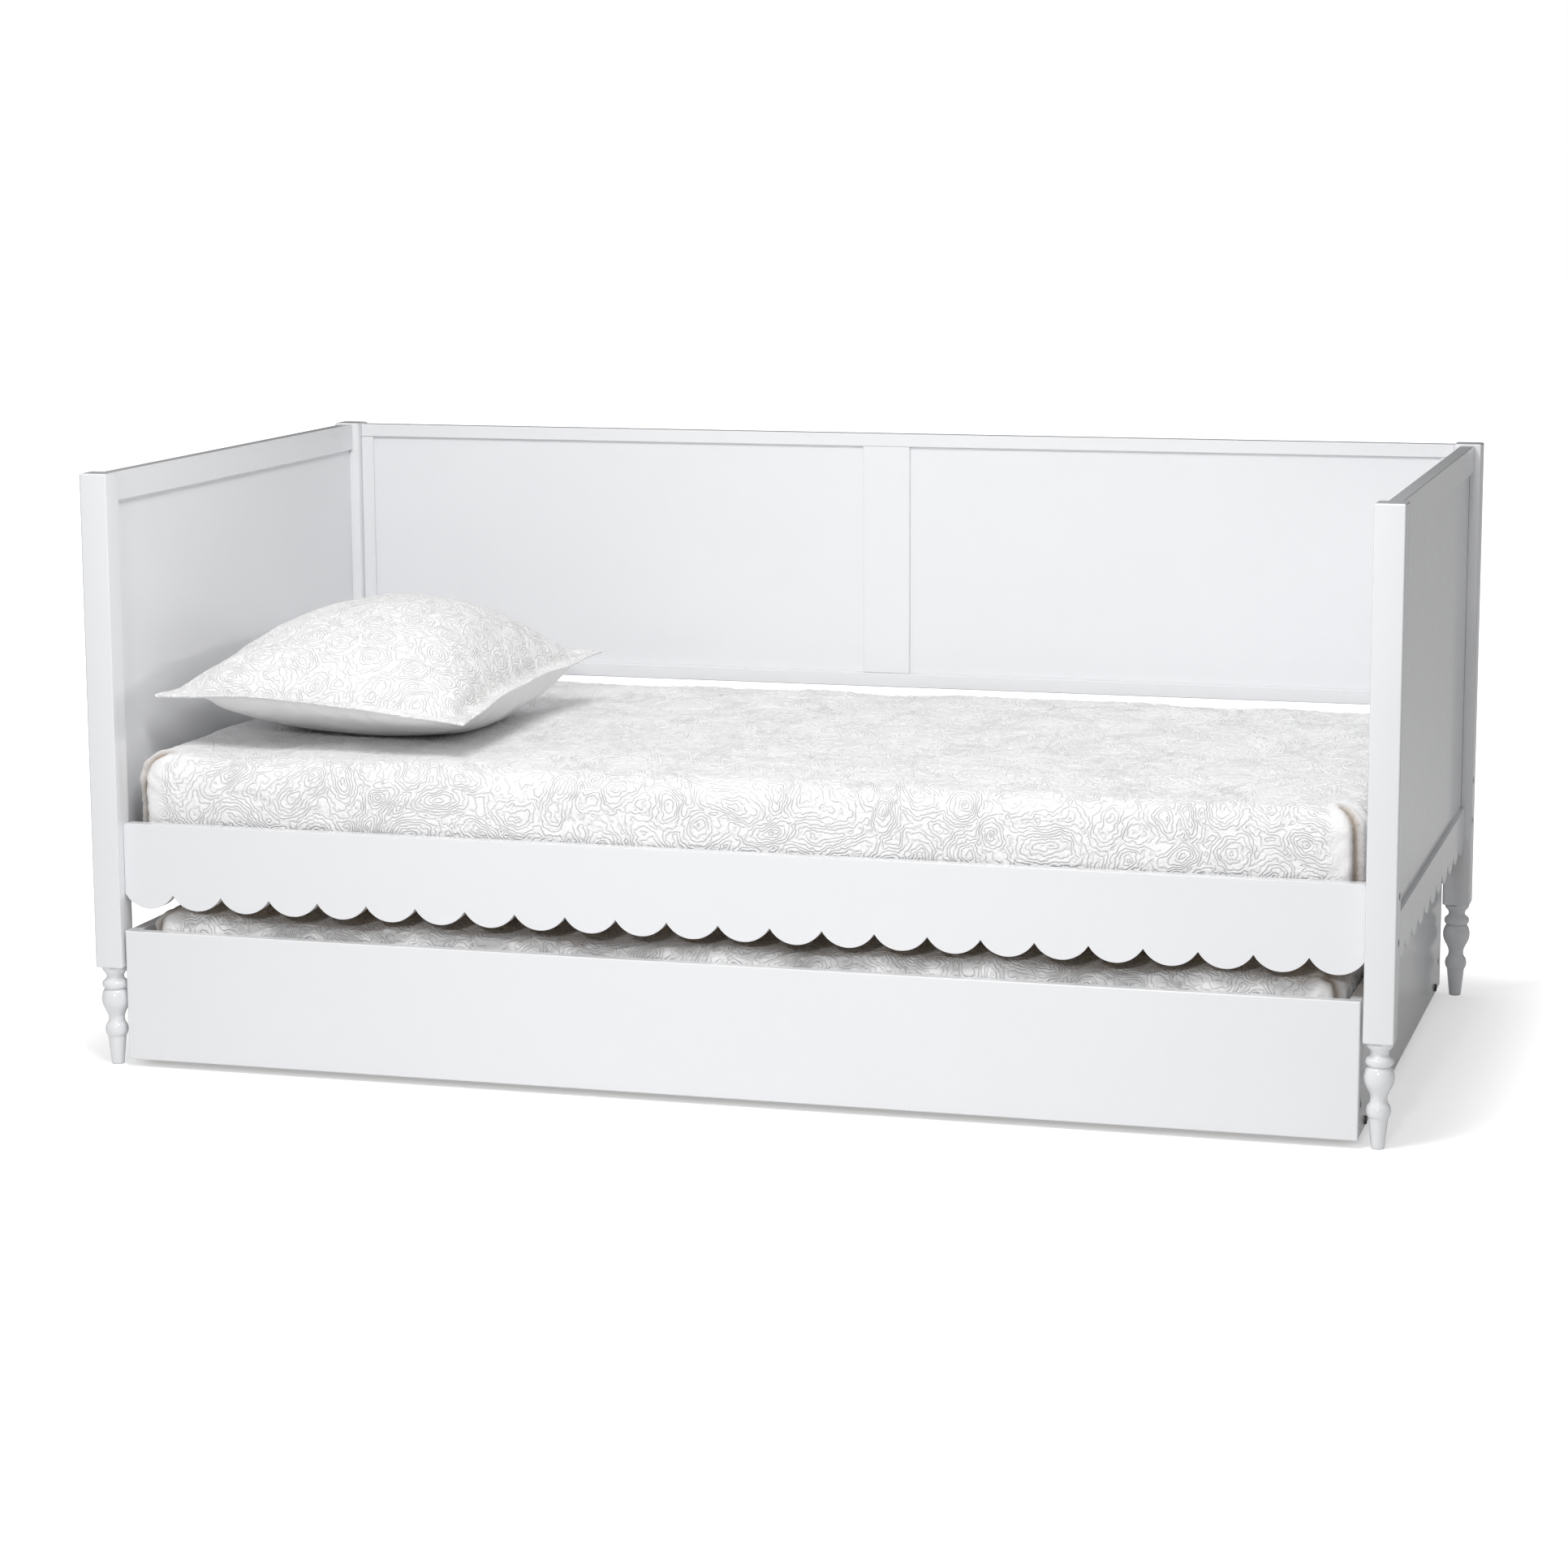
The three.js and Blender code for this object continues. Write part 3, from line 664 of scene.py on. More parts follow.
# %% [markdown]
# ## Scalloped boards
# The apron and the lower rails of the two ends have a lower edge sawn into a row of equal arcs.
# That edge is a rule, so a tree makes it: the lower row of a thin grid is lifted by the arc's
# height, the sheet is pushed out to the board's thickness, and a flipped copy closes the back.

# %% The recipe for a scalloped board
ARC_STEPS = 16


def make_scalloped_board():
    sizes = {"Length": 1.9, "Height": 0.13, "Thickness": 0.02, "Depth": 0.023, "Scallops": 24,
             "Corner cut": 0.004}
    recipe = Recipe("scalloped_board", sizes)
    length = recipe["Length"]
    depth = recipe["Depth"]
    pitch = length / recipe["Scallops"]
    radius = pitch * pitch / (8 * depth) + depth / 2
    columns = recipe["Scallops"] * ARC_STEPS + 1
    grid = {"Size X": length, "Size Y": 1.0, "Vertices X": columns, "Vertices Y": 2}
    sheet = recipe.shape("MeshGrid", None, grid)
    x, y, _ = recipe.axes(recipe.shape("InputPosition"))
    height = y + 0.5
    from_centre = (((x + length / 2) / pitch).math("FRACT") - 0.5) * pitch
    arc = radius - (radius * radius - from_centre * from_centre).math("SQRT")
    at_end = x.math("ABSOLUTE") > length / 2 - 0.001
    z = height * (recipe["Height"] - at_end * recipe["Corner cut"]) + (1 - height) * arc
    place = recipe.vector(x, recipe["Thickness"] / 2, z)
    sheet = recipe.shape("SetPosition", None, {"Geometry": sheet, "Position": place})
    out = {"Mesh": sheet, "Offset": recipe.vector(0.0, -1.0, 0.0),
           "Offset Scale": recipe["Thickness"], "Individual": False}
    front = recipe.shape("ExtrudeMesh", {"mode": "FACES"}, out)
    back = recipe.shape("FlipFaces", None, {"Mesh": sheet})
    whole = recipe.join(front, back)
    recipe.close(recipe.shape("MergeByDistance", None, {"Geometry": whole, "Distance": 1e-5}))
    return recipe


scalloped_board = make_scalloped_board()
print("scalloped board:", len(scalloped_board.tree.nodes), "nodes")

# %% Saw the three boards
SCALLOP_DEPTH = 0.023
TENON_THICK = 0.010
GAP = 0.0003


def make_scalloped(node, scallops, axis, tenon_z):
    """A board between two posts, along axis 0 or 1, with a stub tenon at each end."""
    low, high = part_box(node)
    middle = (low + high) / 2
    reach = (high[axis] - low[axis]) / 2
    across = 1 - axis
    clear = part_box("post_front_right")[0][0] if axis == 0 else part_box("post_back_right")[0][1]
    length = 2 * (clear - GAP)
    board = scalloped_board.grow(
        "sawn_" + node, white_paint, Length=length, Height=high.z - low.z,
        Thickness=high[across] - low[across], Depth=SCALLOP_DEPTH, Scallops=scallops,
    )
    turn = Matrix.Rotation(math.pi / 2 * axis, 4, "Z")
    board.data.transform(Matrix.Translation((middle.x, middle.y, low.z)) @ turn)
    soften(board, 0.0009)
    tenons = []
    for side in (-1, 1):
        start = middle.copy()
        end = middle.copy()
        start[axis] = min(side * (clear - 0.006), side * reach)
        end[axis] = max(side * (clear - 0.006), side * reach)
        start[across] -= TENON_THICK / 2
        end[across] += TENON_THICK / 2
        start.z, end.z = tenon_z
        tenons.append(block("tenon", start, end, white_paint))
    combine(board, tenons, "UNION")
    return settle(board, "bed_frame", "white_paint", node)


apron = make_scalloped("front_apron", 24, 0, (0.292, 0.379))
rails = [make_scalloped(f"{end}_end_scalloped_rail", 12, 1, (0.278, 0.308))
         for end in ("left", "right")]
for board in (apron, *rails):
    print(board.name, count_triangles(board), "triangles")

# %% [markdown]
# ## Bedding: quilted covers
# Both mattresses wear fitted covers of matelasse cotton, and the pillow wears a sham of the same
# cloth. The cover is a padded block: a rounded form is remeshed evenly, a short cloth simulation
# presses the loose cover out against springs that hold the block's thickness, and the result is
# subdivided. The quilting comes after that. Echo quilting is a set of stitched lines at an even
# distance from a scatter of centres, so each point of the cloth gets its wandering distance to the
# nearest centre as an attribute. Geometry uses it for the puffs and the shader for the fine lines,
# which it draws with bump and with painted shade in their valleys. The corner seams of the covers
# and the pillow's hem get a painted shadow in the colour as well.

# %% Quilted cotton
ECHO_STEP = 0.0070
COTTON = (0.93, 0.928, 0.932)
# Painted shade: the valley colour darkens the cloth in its stitched valleys, where shade falls.
COTTON_PAINTED_SHADE = (0.74, 0.72, 0.70)
# Painted shadow: the seam colour is a brown for the shade at the covers' corner seams and along the
# pillow's hem.
SEAM_PAINTED_SHADOW = (0.34, 0.27, 0.21)


def make_quilted_cotton(name, step, relief):
    material, tree, place, shader = new_material(name)
    ring, quilted, seam = (
        tree.value("Attribute", {"attribute_name": kind}, output="Fac")
        for kind in ("ring", "quilted", "seam")
    )
    wobble = noise(tree, place, 24.0, 2.0) * 0.034 + noise(tree, place, 90.0, 1.0) * 0.014
    wave = ((ring + wobble) * (math.pi / step)).math("SINE").math("ABSOLUTE")
    puff = wave.math("POWER", 0.7)
    crinkle = noise(tree, place, 300.0, 2.0)
    pucker = noise(tree, place, 120.0, 1.0)
    weave = noise(tree, place, 1700.0, 1.0)
    # Painted shade: the colour darkens in the stitched valleys between the puffs, where shade falls;
    # the crinkle noise adds a little random tone.
    painted_valley_shade = (1 - puff) * quilted
    cloth = blend_colours(tree, painted_valley_shade * 0.24 + crinkle * 0.1, COTTON, COTTON_PAINTED_SHADE)
    # Painted shadow: the seam attribute blends in a brown for the shade in the gaps at the mattress
    # corners and along the pillow's hem.
    colour = blend_colours(tree, seam, COTTON, SEAM_PAINTED_SHADOW)
    tree.feed(colour.node.inputs[6], cloth)
    set_shader(tree, shader, Base_Color=colour, Roughness=0.86 + crinkle * 0.1)
    set_shader(tree, shader, Sheen_Weight=0.15, Sheen_Roughness=0.5)
    bump(tree, shader, (puff + pucker) * quilted + crinkle * 0.25 + weave * 0.06, relief)
    return material


quilted_cover = make_quilted_cotton("quilted_cover", ECHO_STEP, 0.0016)
pillow_sham = make_quilted_cotton("pillow_sham", 0.0060, 0.0015)
print("cotton:", quilted_cover.name, pillow_sham.name, "echo step", ECHO_STEP, "m")

# %% Arrays in and out of a mesh
def read_points(mesh):
    points = np.empty(len(mesh.vertices) * 3)
    mesh.vertices.foreach_get("co", points)
    return points.reshape(-1, 3)


def read_normals(mesh):
    normals = np.empty(len(mesh.vertices) * 3)
    mesh.vertex_normals.foreach_get("vector", normals)
    return normals.reshape(-1, 3)


def write_points(mesh, points):
    mesh.vertices.foreach_set("co", points.reshape(-1))
    mesh.update()


def write_attribute(mesh, name, values):
    attribute = mesh.attributes.new(name, "FLOAT", "POINT")
    attribute.data.foreach_set("value", np.asarray(values, dtype=np.float32))


def read_attribute(mesh, name):
    values = np.empty(len(mesh.vertices), dtype=np.float32)
    mesh.attributes[name].data.foreach_get("value", values)
    return values


def soft_step(values, low, high):
    t = np.clip((values - low) / (high - low), 0.0, 1.0)
    return t * t * (3 - 2 * t)


def ripples(points, seed, wavelength, count=14):
    """Smooth random waves over space, about -1 to 1, the same every time for one seed."""
    random = np.random.default_rng(seed)
    total = np.zeros(len(points))
    for _ in range(count):
        direction = random.normal(size=3)
        direction /= np.linalg.norm(direction)
        length = wavelength * random.uniform(0.7, 1.6)
        total += np.sin(points @ direction * 2 * math.pi / length + random.uniform(0, 6.283))
    return total / math.sqrt(count)


# %% Cloth simulation and quilting
CLOTH_FRAMES = 20


def press_out(piece, pressure, swell, cap, springs=0.0, pinned=None):
    """A short cloth simulation, with no point moving further than the cap."""
    start = read_points(piece.data)
    cloth = piece.modifiers.new("cover", "CLOTH")
    rules = cloth.settings
    rules.use_pressure = True
    rules.uniform_pressure_force = pressure
    rules.effector_weights.gravity = 0
    rules.shrink_min = -swell
    rules.quality = 3
    rules.tension_stiffness = 8
    rules.compression_stiffness = 8
    rules.shear_stiffness = 3
    rules.bending_stiffness = 0.5
    if springs:
        rules.use_internal_springs = True
        rules.internal_spring_max_length = springs
        rules.internal_spring_max_diversion = 0.3
        rules.internal_tension_stiffness = 12
        rules.internal_compression_stiffness = 12
    if pinned is not None:
        group = piece.vertex_groups.new(name="pinned")
        group.add([int(i) for i in np.flatnonzero(pinned)], 1.0, "REPLACE")
        rules.vertex_group_mass = "pinned"
    cloth.point_cache.frame_start = 1
    cloth.point_cache.frame_end = CLOTH_FRAMES
    for step in range(1, CLOTH_FRAMES + 1):
        scene.frame_set(step)
    moved = read_points(piece.evaluated_get(bpy.context.evaluated_depsgraph_get()).data)
    piece.modifiers.clear()
    piece.vertex_groups.clear()
    scene.frame_set(1)
    shift = moved - start
    length = np.linalg.norm(shift, axis=1, keepdims=True)
    shift *= cap * np.tanh(length / cap) / np.maximum(length, 1e-9)
    write_points(piece.data, start + shift)
    print(piece.name, "moved at most", round(float(np.abs(shift).max()) * 1000, 1), "mm")


def subdivide(piece):
    modifier = piece.modifiers.new("finer", "SUBSURF")
    modifier.levels = 1
    modifier.render_levels = 1
    return bake_modifiers(piece)


def echo_rings(points, seed, spread, wander):
    """Distance to the nearest and to the second nearest of a scatter of quilting centres."""
    warped = points.copy()
    for axis in range(3):
        warped[:, axis] += wander * ripples(points, seed + axis, 0.16)
    order = np.random.default_rng(seed).permutation(len(warped))
    free = np.ones(len(warped), dtype=bool)
    first = np.full(len(warped), 9.0)
    second = np.full(len(warped), 9.0)
    count = 0
    for i in order:
        if free[i]:
            distance = np.linalg.norm(warped - warped[i], axis=1)
            free &= distance > spread
            second = np.minimum(second, np.maximum(distance, first))
            first = np.minimum(first, distance)
            count += 1
    print("quilting centres:", count)
    return first, second


# %% [markdown]
# ## The two mattresses
# Each is a long flat block with round corners in plan and a broad rolled edge, because its cover
# is drawn round foam. It starts a little smaller than the space it has, the cloth pass swells it,
# and gathers are drawn in at the corners, where a fitted cover bunches up round its mitred seams.

# %% A mattress in its cover
COVER_VOXEL = 0.012
SWELL_ROOM = 0.006
CORNER_SPAN = 0.12
FOLD_HEIGHT = 0.0018
FOLD_TURNS = 90
CREASE_DEPTH = 0.0012
CREASE_WIDTH = 0.014
ECHO_DEPTH = 0.0005
ECHO_SPREAD = 0.062
ECHO_WANDER = 0.026
SEAM_REACH = 0.085
SEAM_WIDTH = 0.006
SEAM_DEPTH = 0.0050
ROLL_PLACE = 0.013
ROLL_WIDTH = 0.007
ROLL_HEIGHT = 0.0026


def rounded_block(name, low, high, corner, edge, finish, steps=8):
    """A closed block with round vertical corners and rolled top and bottom edges."""
    middle = (low + high) / 2
    half = (high - low) / 2
    outline = []
    for k in range(4 * (steps + 1)):
        quarter, step = divmod(k, steps + 1)
        turn = math.pi / 2 * (quarter + step / steps)
        side_x = 1 if quarter in (0, 3) else -1
        side_y = 1 if quarter in (0, 1) else -1
        x = middle.x + side_x * (half.x - corner) + corner * math.cos(turn)
        y = middle.y + side_y * (half.y - corner) + corner * math.sin(turn)
        outline.append((x, y))
    work = bmesh.new()
    base = work.faces.new([work.verts.new((x, y, low.z)) for x, y in outline])
    lifted = bmesh.ops.extrude_face_region(work, geom=[base])["geom"]
    upper = [part for part in lifted if isinstance(part, bmesh.types.BMVert)]
    bmesh.ops.translate(work, verts=upper, vec=(0, 0, high.z - low.z))
    bmesh.ops.recalc_face_normals(work, faces=work.faces)
    level = [e for e in work.edges if abs(e.verts[0].co.z - e.verts[1].co.z) < 1e-6]
    bmesh.ops.bevel(work, geom=level, offset=edge, segments=5, profile=0.5, affect="EDGES")
    mesh = bpy.data.meshes.new(name)
    work.to_mesh(mesh)
    work.free()
    return link_object(name, mesh, finish)


def remesh(piece, voxel):
    modifier = piece.modifiers.new("even", "REMESH")
    modifier.mode = "VOXEL"
    modifier.voxel_size = voxel
    return bake_modifiers(piece)


def ridge(distance, width):
    """A smooth ridge, one high where the distance is nothing."""
    return np.exp(-((distance / width) ** 2))


def dent_depth(points, centre, half_x, half_y, level):
    """How far to press the cloth down so that it stays under a level inside an oval."""
    out = np.hypot((points[:, 0] - centre[0]) / half_x, (points[:, 1] - centre[1]) / half_y)
    pressed = 1 - soft_step(out, 0.75, 1.25)
    return np.maximum(0, points[:, 2] - level) * pressed


def corner_seam(points, low, high):
    """Distance to the mitred seam of a fitted cover, up each corner and a little way on top."""
    middle = (low + high) / 2
    half = (high - low) / 2
    from_end = half.x - np.abs(points[:, 0] - middle.x)
    from_side = half.y - np.abs(points[:, 1] - middle.y)
    across = np.abs(from_end - from_side) * math.sqrt(0.5)
    return across + SEAM_REACH * soft_step(from_end, SEAM_REACH / 2, SEAM_REACH)


def make_mattress(name, node, body, corner, edge, fuller, wave, seed, dent=None):
    low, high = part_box(node)
    low, high = low - Vector((fuller[0], 0, 0)), high + Vector(fuller)
    room = Vector((SWELL_ROOM, SWELL_ROOM, 0))
    top_room = Vector((0, 0, SWELL_ROOM / 2))
    piece = rounded_block(name, low + room, high - room - top_room, corner, edge, quilted_cover)
    remesh(piece, COVER_VOXEL)
    press_out(piece, 1.0, 0.015, SWELL_ROOM, springs=0.2)
    subdivide(piece)
    piece.data.shade_smooth()
    points = read_points(piece.data)
    x, y, z = points.T
    rise = np.clip((z - low.z) / (high.z - low.z), 0.0, 1.0)
    from_corner = np.hypot(
        np.maximum(0, np.abs(x) - (high.x - CORNER_SPAN)),
        np.maximum(0, np.abs(y - (low.y + high.y) / 2) - ((high.y - low.y) / 2 - CORNER_SPAN)),
    )
    at_corner = soft_step(from_corner, 0.05, CORNER_SPAN) * soft_step(rise, 0.2, 0.9)
    wander = ripples(points, seed + 9, 0.09) * 5.0
    folds = np.sin(wander + x * FOLD_TURNS - y * FOLD_TURNS)
    edge_wave = ripples(points, seed + 5, 0.24) * soft_step(rise, 0.35, 0.9)
    first, second = echo_rings(points, seed, ECHO_SPREAD, ECHO_WANDER)
    crease = 1 - soft_step(second - first, 0.0, CREASE_WIDTH)
    lift = wave * edge_wave + FOLD_HEIGHT * folds * at_corner - CREASE_DEPTH * crease
    lift -= ECHO_DEPTH * (1 + np.cos(first * 2 * math.pi / (ECHO_STEP * 3)))
    seam = corner_seam(points, low, high)
    roll = ROLL_HEIGHT * ridge(seam - ROLL_PLACE, ROLL_WIDTH)
    lift += roll - SEAM_DEPTH * ridge(seam, SEAM_WIDTH)
    points += read_normals(piece.data) * (lift * soft_step(rise, 0.02, 0.15))[:, None]
    points[:, 2] = np.clip(points[:, 2], low.z, None)
    if dent:
        points[:, 2] -= dent_depth(points, *dent)
    write_points(piece.data, points)
    write_attribute(piece.data, "ring", first)
    write_attribute(piece.data, "quilted", 0.25 + 0.75 * soft_step(seam, 0.02, 0.07))
    # Painted shadow: the corners are darkened along their seams, where they lie in shade, and this
    # goes into the seam attribute.
    shadow = 0.72 * ridge(seam, SEAM_WIDTH) + 0.26 * ridge(seam, SEAM_WIDTH * 3)
    write_attribute(piece.data, "seam", shadow)
    settle(piece, body, "quilted_cover", node)
    return piece


pillow_low, pillow_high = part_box("pillow")
COVER_RISE = 0.0095
COVER_REACH = 0.008
PILLOW_REST = pillow_low.z + COVER_RISE - 0.0025
pillow_dent = (middle_of("pillow"), 0.22, 0.25, PILLOW_REST - 0.0006)
bed_cover = make_mattress(
    "bed_mattress_cover", "bed_mattress", "bed_frame", corner=0.046, edge=0.040,
    fuller=(COVER_REACH, 0, COVER_RISE), wave=0.0026, seed=11, dent=pillow_dent
)
trundle_cover = make_mattress(
    "trundle_mattress_cover", "trundle_mattress", "trundle", corner=0.040, edge=0.022,
    fuller=(0, 0, COVER_RISE / 2), wave=0.0045, seed=23
)
for cover in (bed_cover, trundle_cover):
    print(cover.name, count_triangles(cover), "triangles")


# %% [markdown]
# ## The pillow in its sham
# A sham is two flat panels sewn together along a line that runs inside their edge, so a flat
# flange goes all round and ends in four pointed corners. The filling domes the quilted top panel
# and bulges the plain back panel until it lies on the mattress. Two grids that share their rim
# make the panels, the flange is pinned, and the cloth simulation puckers the rest against the
# seam.

# %% The two panels
PILLOW_CELLS = (72, 84)
FLANGE = 0.027
FLANGE_THICK = 0.0044
SIDE_DRAW = 0.055
EDGE_LIFT = 0.011
TIPS = {
    (-1, -1): (0.008, 0.008, 0.093),
    (1, -1): (-0.010, 0.008, 0.066),
    (1, 1): (0.008, 0.008, 0.091),
    (-1, 1): (0.008, 0.008, 0.111),
}
CROWN_SHIFT = 0.15
BELLY_SHIFT = (0.05, -0.22)
BELLY_SINK = 0.006


def pillow_plane(u, v):
    """The seam's surface, stretched between the four tips; its sides are drawn in."""
    across = u * (1 - SIDE_DRAW * (1 - v * v))
    along = v * (1 - SIDE_DRAW * (1 - u * u))
    total = np.zeros((len(u), 3))
    for (side_x, side_y), (reach_x, reach_y, height) in TIPS.items():
        tip = Vector((
            (pillow_high.x if side_x > 0 else pillow_low.x) + side_x * reach_x,
            (pillow_high.y if side_y > 0 else pillow_low.y) + side_y * reach_y,
            pillow_low.z + height,
        ))
        share = (1 + side_x * across) * (1 + side_y * along) / 4
        total += share[:, None] * np.array(tip)
    total[:, 2] += EDGE_LIFT * ((1 - u * u) * v ** 4 + (1 - v * v) * u ** 4)
    return total


def panel_heights(u, v, top):
    """How far a panel stands off the seam's surface."""
    size = pillow_high - pillow_low
    a = np.clip(u / (1 - 2 * FLANGE / size.x), -1, 1)
    b = np.clip(v / (1 - 2 * FLANGE / size.y), -1, 1)
    shift_u, shift_v = (CROWN_SHIFT, 0.0) if top else BELLY_SHIFT
    a = a - shift_u * (1 - a * a)
    b = b + shift_v * (1 - b * b)
    power_u, power_v = (0.55, 0.68) if top else (0.32, 0.75)
    dome = np.maximum(0, 1 - a * a) ** power_u * np.maximum(0, 1 - b * b) ** power_v
    to_edge = np.minimum((1 - np.abs(u)) * size.x, (1 - np.abs(v)) * size.y) / 2
    skin = FLANGE_THICK / 2 * np.clip(to_edge / 0.004, 0, 1) * (1 + 2 * np.abs(u * v) ** 12)
    return dome, skin, to_edge


def make_pillow_mesh():
    count_u, count_v = PILLOW_CELLS
    u, v = np.meshgrid(np.linspace(-1, 1, count_u + 1), np.linspace(-1, 1, count_v + 1))
    u, v = u.ravel(), v.ravel()
    plane = pillow_plane(u, v)
    plane[:, 2] += 0.0045 * ripples(plane, 71, 0.18) * np.maximum(np.abs(u), np.abs(v)) ** 8
    crown = pillow_high.z + 0.001 - plane[:, 2]
    dome, skin, to_edge = panel_heights(u, v, True)
    top = plane.copy()
    top[:, 2] += crown * dome + skin
    belly, skin, _ = panel_heights(u, v, False)
    depth = plane[:, 2] - PILLOW_REST + BELLY_SINK
    bottom = plane.copy()
    bottom[:, 2] -= depth * belly + skin
    row = count_u + 1
    rim = (np.abs(u) > 0.9999) | (np.abs(v) > 0.9999)
    number = np.where(rim, np.arange(len(u)), len(u) + np.cumsum(~rim) - 1)
    faces = []
    for j in range(count_v):
        for i in range(count_u):
            a = j * row + i
            quad = (a, a + 1, a + 1 + row, a + row)
            faces.append(quad)
            faces.append(tuple(int(number[k]) for k in reversed(quad)))
    points = np.vstack([top, bottom[~rim]])
    points[:, 2] = np.maximum(points[:, 2], PILLOW_REST)
    mesh = bpy.data.meshes.new("pillow_in_sham")
    mesh.from_pydata([tuple(point) for point in points], [], faces)
    on_flange = to_edge < FLANGE
    pinned = np.concatenate([on_flange, on_flange[~rim]])
    is_top = np.concatenate([np.ones(len(u)), np.zeros(int((~rim).sum()))])
    from_hem = np.concatenate([to_edge, np.full(int((~rim).sum()), 1.0)]) - FLANGE
    write_attribute(mesh, "quilted", is_top)
    write_attribute(mesh, "from_hem", from_hem)
    return link_object("pillow_in_sham", mesh, pillow_sham), pinned


pillow, pillow_pinned = make_pillow_mesh()
press_out(pillow, 2.5, 0.02, 0.010, pinned=pillow_pinned)
pillow_points = read_points(pillow.data)
pillow_points[:, 2] = np.maximum(pillow_points[:, 2], PILLOW_REST)
write_points(pillow.data, pillow_points)
subdivide(pillow)
print("pillow panels:", count_triangles(pillow), "triangles")

SHAM_SPREAD = 0.052
SHAM_WANDER = 0.012
SHAM_CREASE = 0.0010
BACK_FOLDS = 0.0012
TOP_RIPPLE = 0.0010
HEM_WIDTH = 0.0035
HEM_DEPTH = 0.0014
# Painted shade: how strongly the brown shadow colour darkens the hem's groove.
HEM_PAINTED_SHADE = 0.12


def quilt_pillow():
    points = read_points(pillow.data)
    quilted = read_attribute(pillow.data, "quilted")
    from_hem = read_attribute(pillow.data, "from_hem")
    first, second = echo_rings(points, 41, SHAM_SPREAD, SHAM_WANDER)
    crease = 1 - soft_step(second - first, 0.0, 0.010)
    folds = ripples(points * np.array([1.0, 1.0, 4.0]), 55, 0.19)
    lift = -SHAM_CREASE * crease * quilted + BACK_FOLDS * folds * (1 - quilted)
    lift += TOP_RIPPLE * ripples(points, 47, 0.07) * quilted
    hem = ridge(from_hem, HEM_WIDTH)
    lift -= HEM_DEPTH * hem
    points += read_normals(pillow.data) * lift[:, None]
    points[:, 2] = np.maximum(points[:, 2], PILLOW_REST)
    write_points(pillow.data, points)
    write_attribute(pillow.data, "ring", first)
    # Painted shade: the colour darkens a little along the hem's groove, stored in the seam
    # attribute.
    write_attribute(pillow.data, "seam", hem * HEM_PAINTED_SHADE)
    pillow.data.shade_smooth()


quilt_pillow()
settle(pillow, "bed_frame", "pillow_sham", "pillow")
print("pillow:", count_triangles(pillow), "triangles")

# %% [markdown]
# ## Fasteners and running gear
# The bed comes apart for moving, so long bolts go through the posts into the rails, and the
# trundle's ledgers hang on bolts through its side panels. One recipe makes every bolt from its
# sizes: a head with an eased rim and a hexagon socket, and a shank. It is placed on points whose
# "aim" attribute says which way the head looks. The same recipe with other sizes makes the wood
# screws that hold slats and deck boards down.

# %% The recipe for bolts and screws
def make_bolt_recipe():
    sizes = {"Head radius": 0.0065, "Head height": 0.005, "Shank radius": 0.004,
             "Shank length": 0.07, "Socket radius": 0.0032, "Socket depth": 0.003, "Sides": 28}
    recipe = Recipe("bolt", sizes)
    head = recipe["Head radius"]
    height = recipe["Head height"]
    shank = recipe["Shank length"]
    rim = head * 0.12
    sides = {"Vertices": recipe["Sides"]}
    barrel = recipe.shape("MeshCylinder", None, {**sides, "Radius": head, "Depth": height - rim})
    barrel = recipe.moved(barrel, z=(height - rim) * -0.5 - rim)
    cone = {**sides, "Radius Top": head - rim, "Radius Bottom": head, "Depth": rim}
    eased = recipe.moved(recipe.shape("MeshCone", None, cone), z=0 - rim)
    rod = {**sides, "Radius": recipe["Shank radius"], "Depth": shank}
    rod = recipe.moved(recipe.shape("MeshCylinder", None, rod), z=(shank * 0.5 + height) * -1)
    through = recipe["Socket depth"] * 2
    hexagon = {"Vertices": 6, "Radius": recipe["Socket radius"], "Depth": through}
    socket = recipe.shape("MeshCylinder", None, hexagon)
    head_shape = recipe.join(barrel, eased)
    head_shape = recipe.shape("MergeByDistance", None, {"Geometry": head_shape, "Distance": 1e-6})
    body = recipe.join(recipe.cut(head_shape, socket), rod)
    aim = recipe.add("InputNamedAttribute", {"data_type": "FLOAT_VECTOR"}, {"Name": "aim"})
    aim = {"Vector": aim.outputs[0]}
    turn = recipe.shape("FunctionNodeAlignRotationToVector", {"axis": "Z"}, aim)
    points = {"Points": recipe.given.outputs["Geometry"], "Instance": body, "Rotation": turn}
    recipe.close(recipe.shape("InstanceOnPoints", None, points))
    return recipe


bolt = make_bolt_recipe()
print("bolt recipe:", len(bolt.tree.nodes), "nodes")

# %% Bolts through posts and trundle sides
HEAD_SINK = 0.0005
BOLT_HEIGHTS = (0.301, 0.369)


def side_bolts(name, places):
    """Bolts from outside into the boards at the two ends; a place is node, side, Y and Z."""
    points = [(outer_face(node, side) - side * HEAD_SINK, y, z) for node, side, y, z in places]
    aims = [(side, 0.0, 0.0) for _, side, _, _ in places]
    return bolt.grow(name, dark_steel, points, aims)


def make_post_bolts(face, rail):
    y = middle_of(rail).y
    places = [(f"post_{face}_{end}", side, y, z) for end, side in ENDS for z in BOLT_HEIGHTS]
    return side_bolts(f"{face}_post_bolts", places)


front_bolts = make_post_bolts("front", "front_apron")
settle(front_bolts, "bed_frame", "dark_steel", *(
    f"apron_bolt_{end}_{level}" for end, _ in ENDS for level in ("lower", "upper")
))
rear_bolts = settle(make_post_bolts("back", "rear_support_rail"), "bed_frame", "dark_steel")

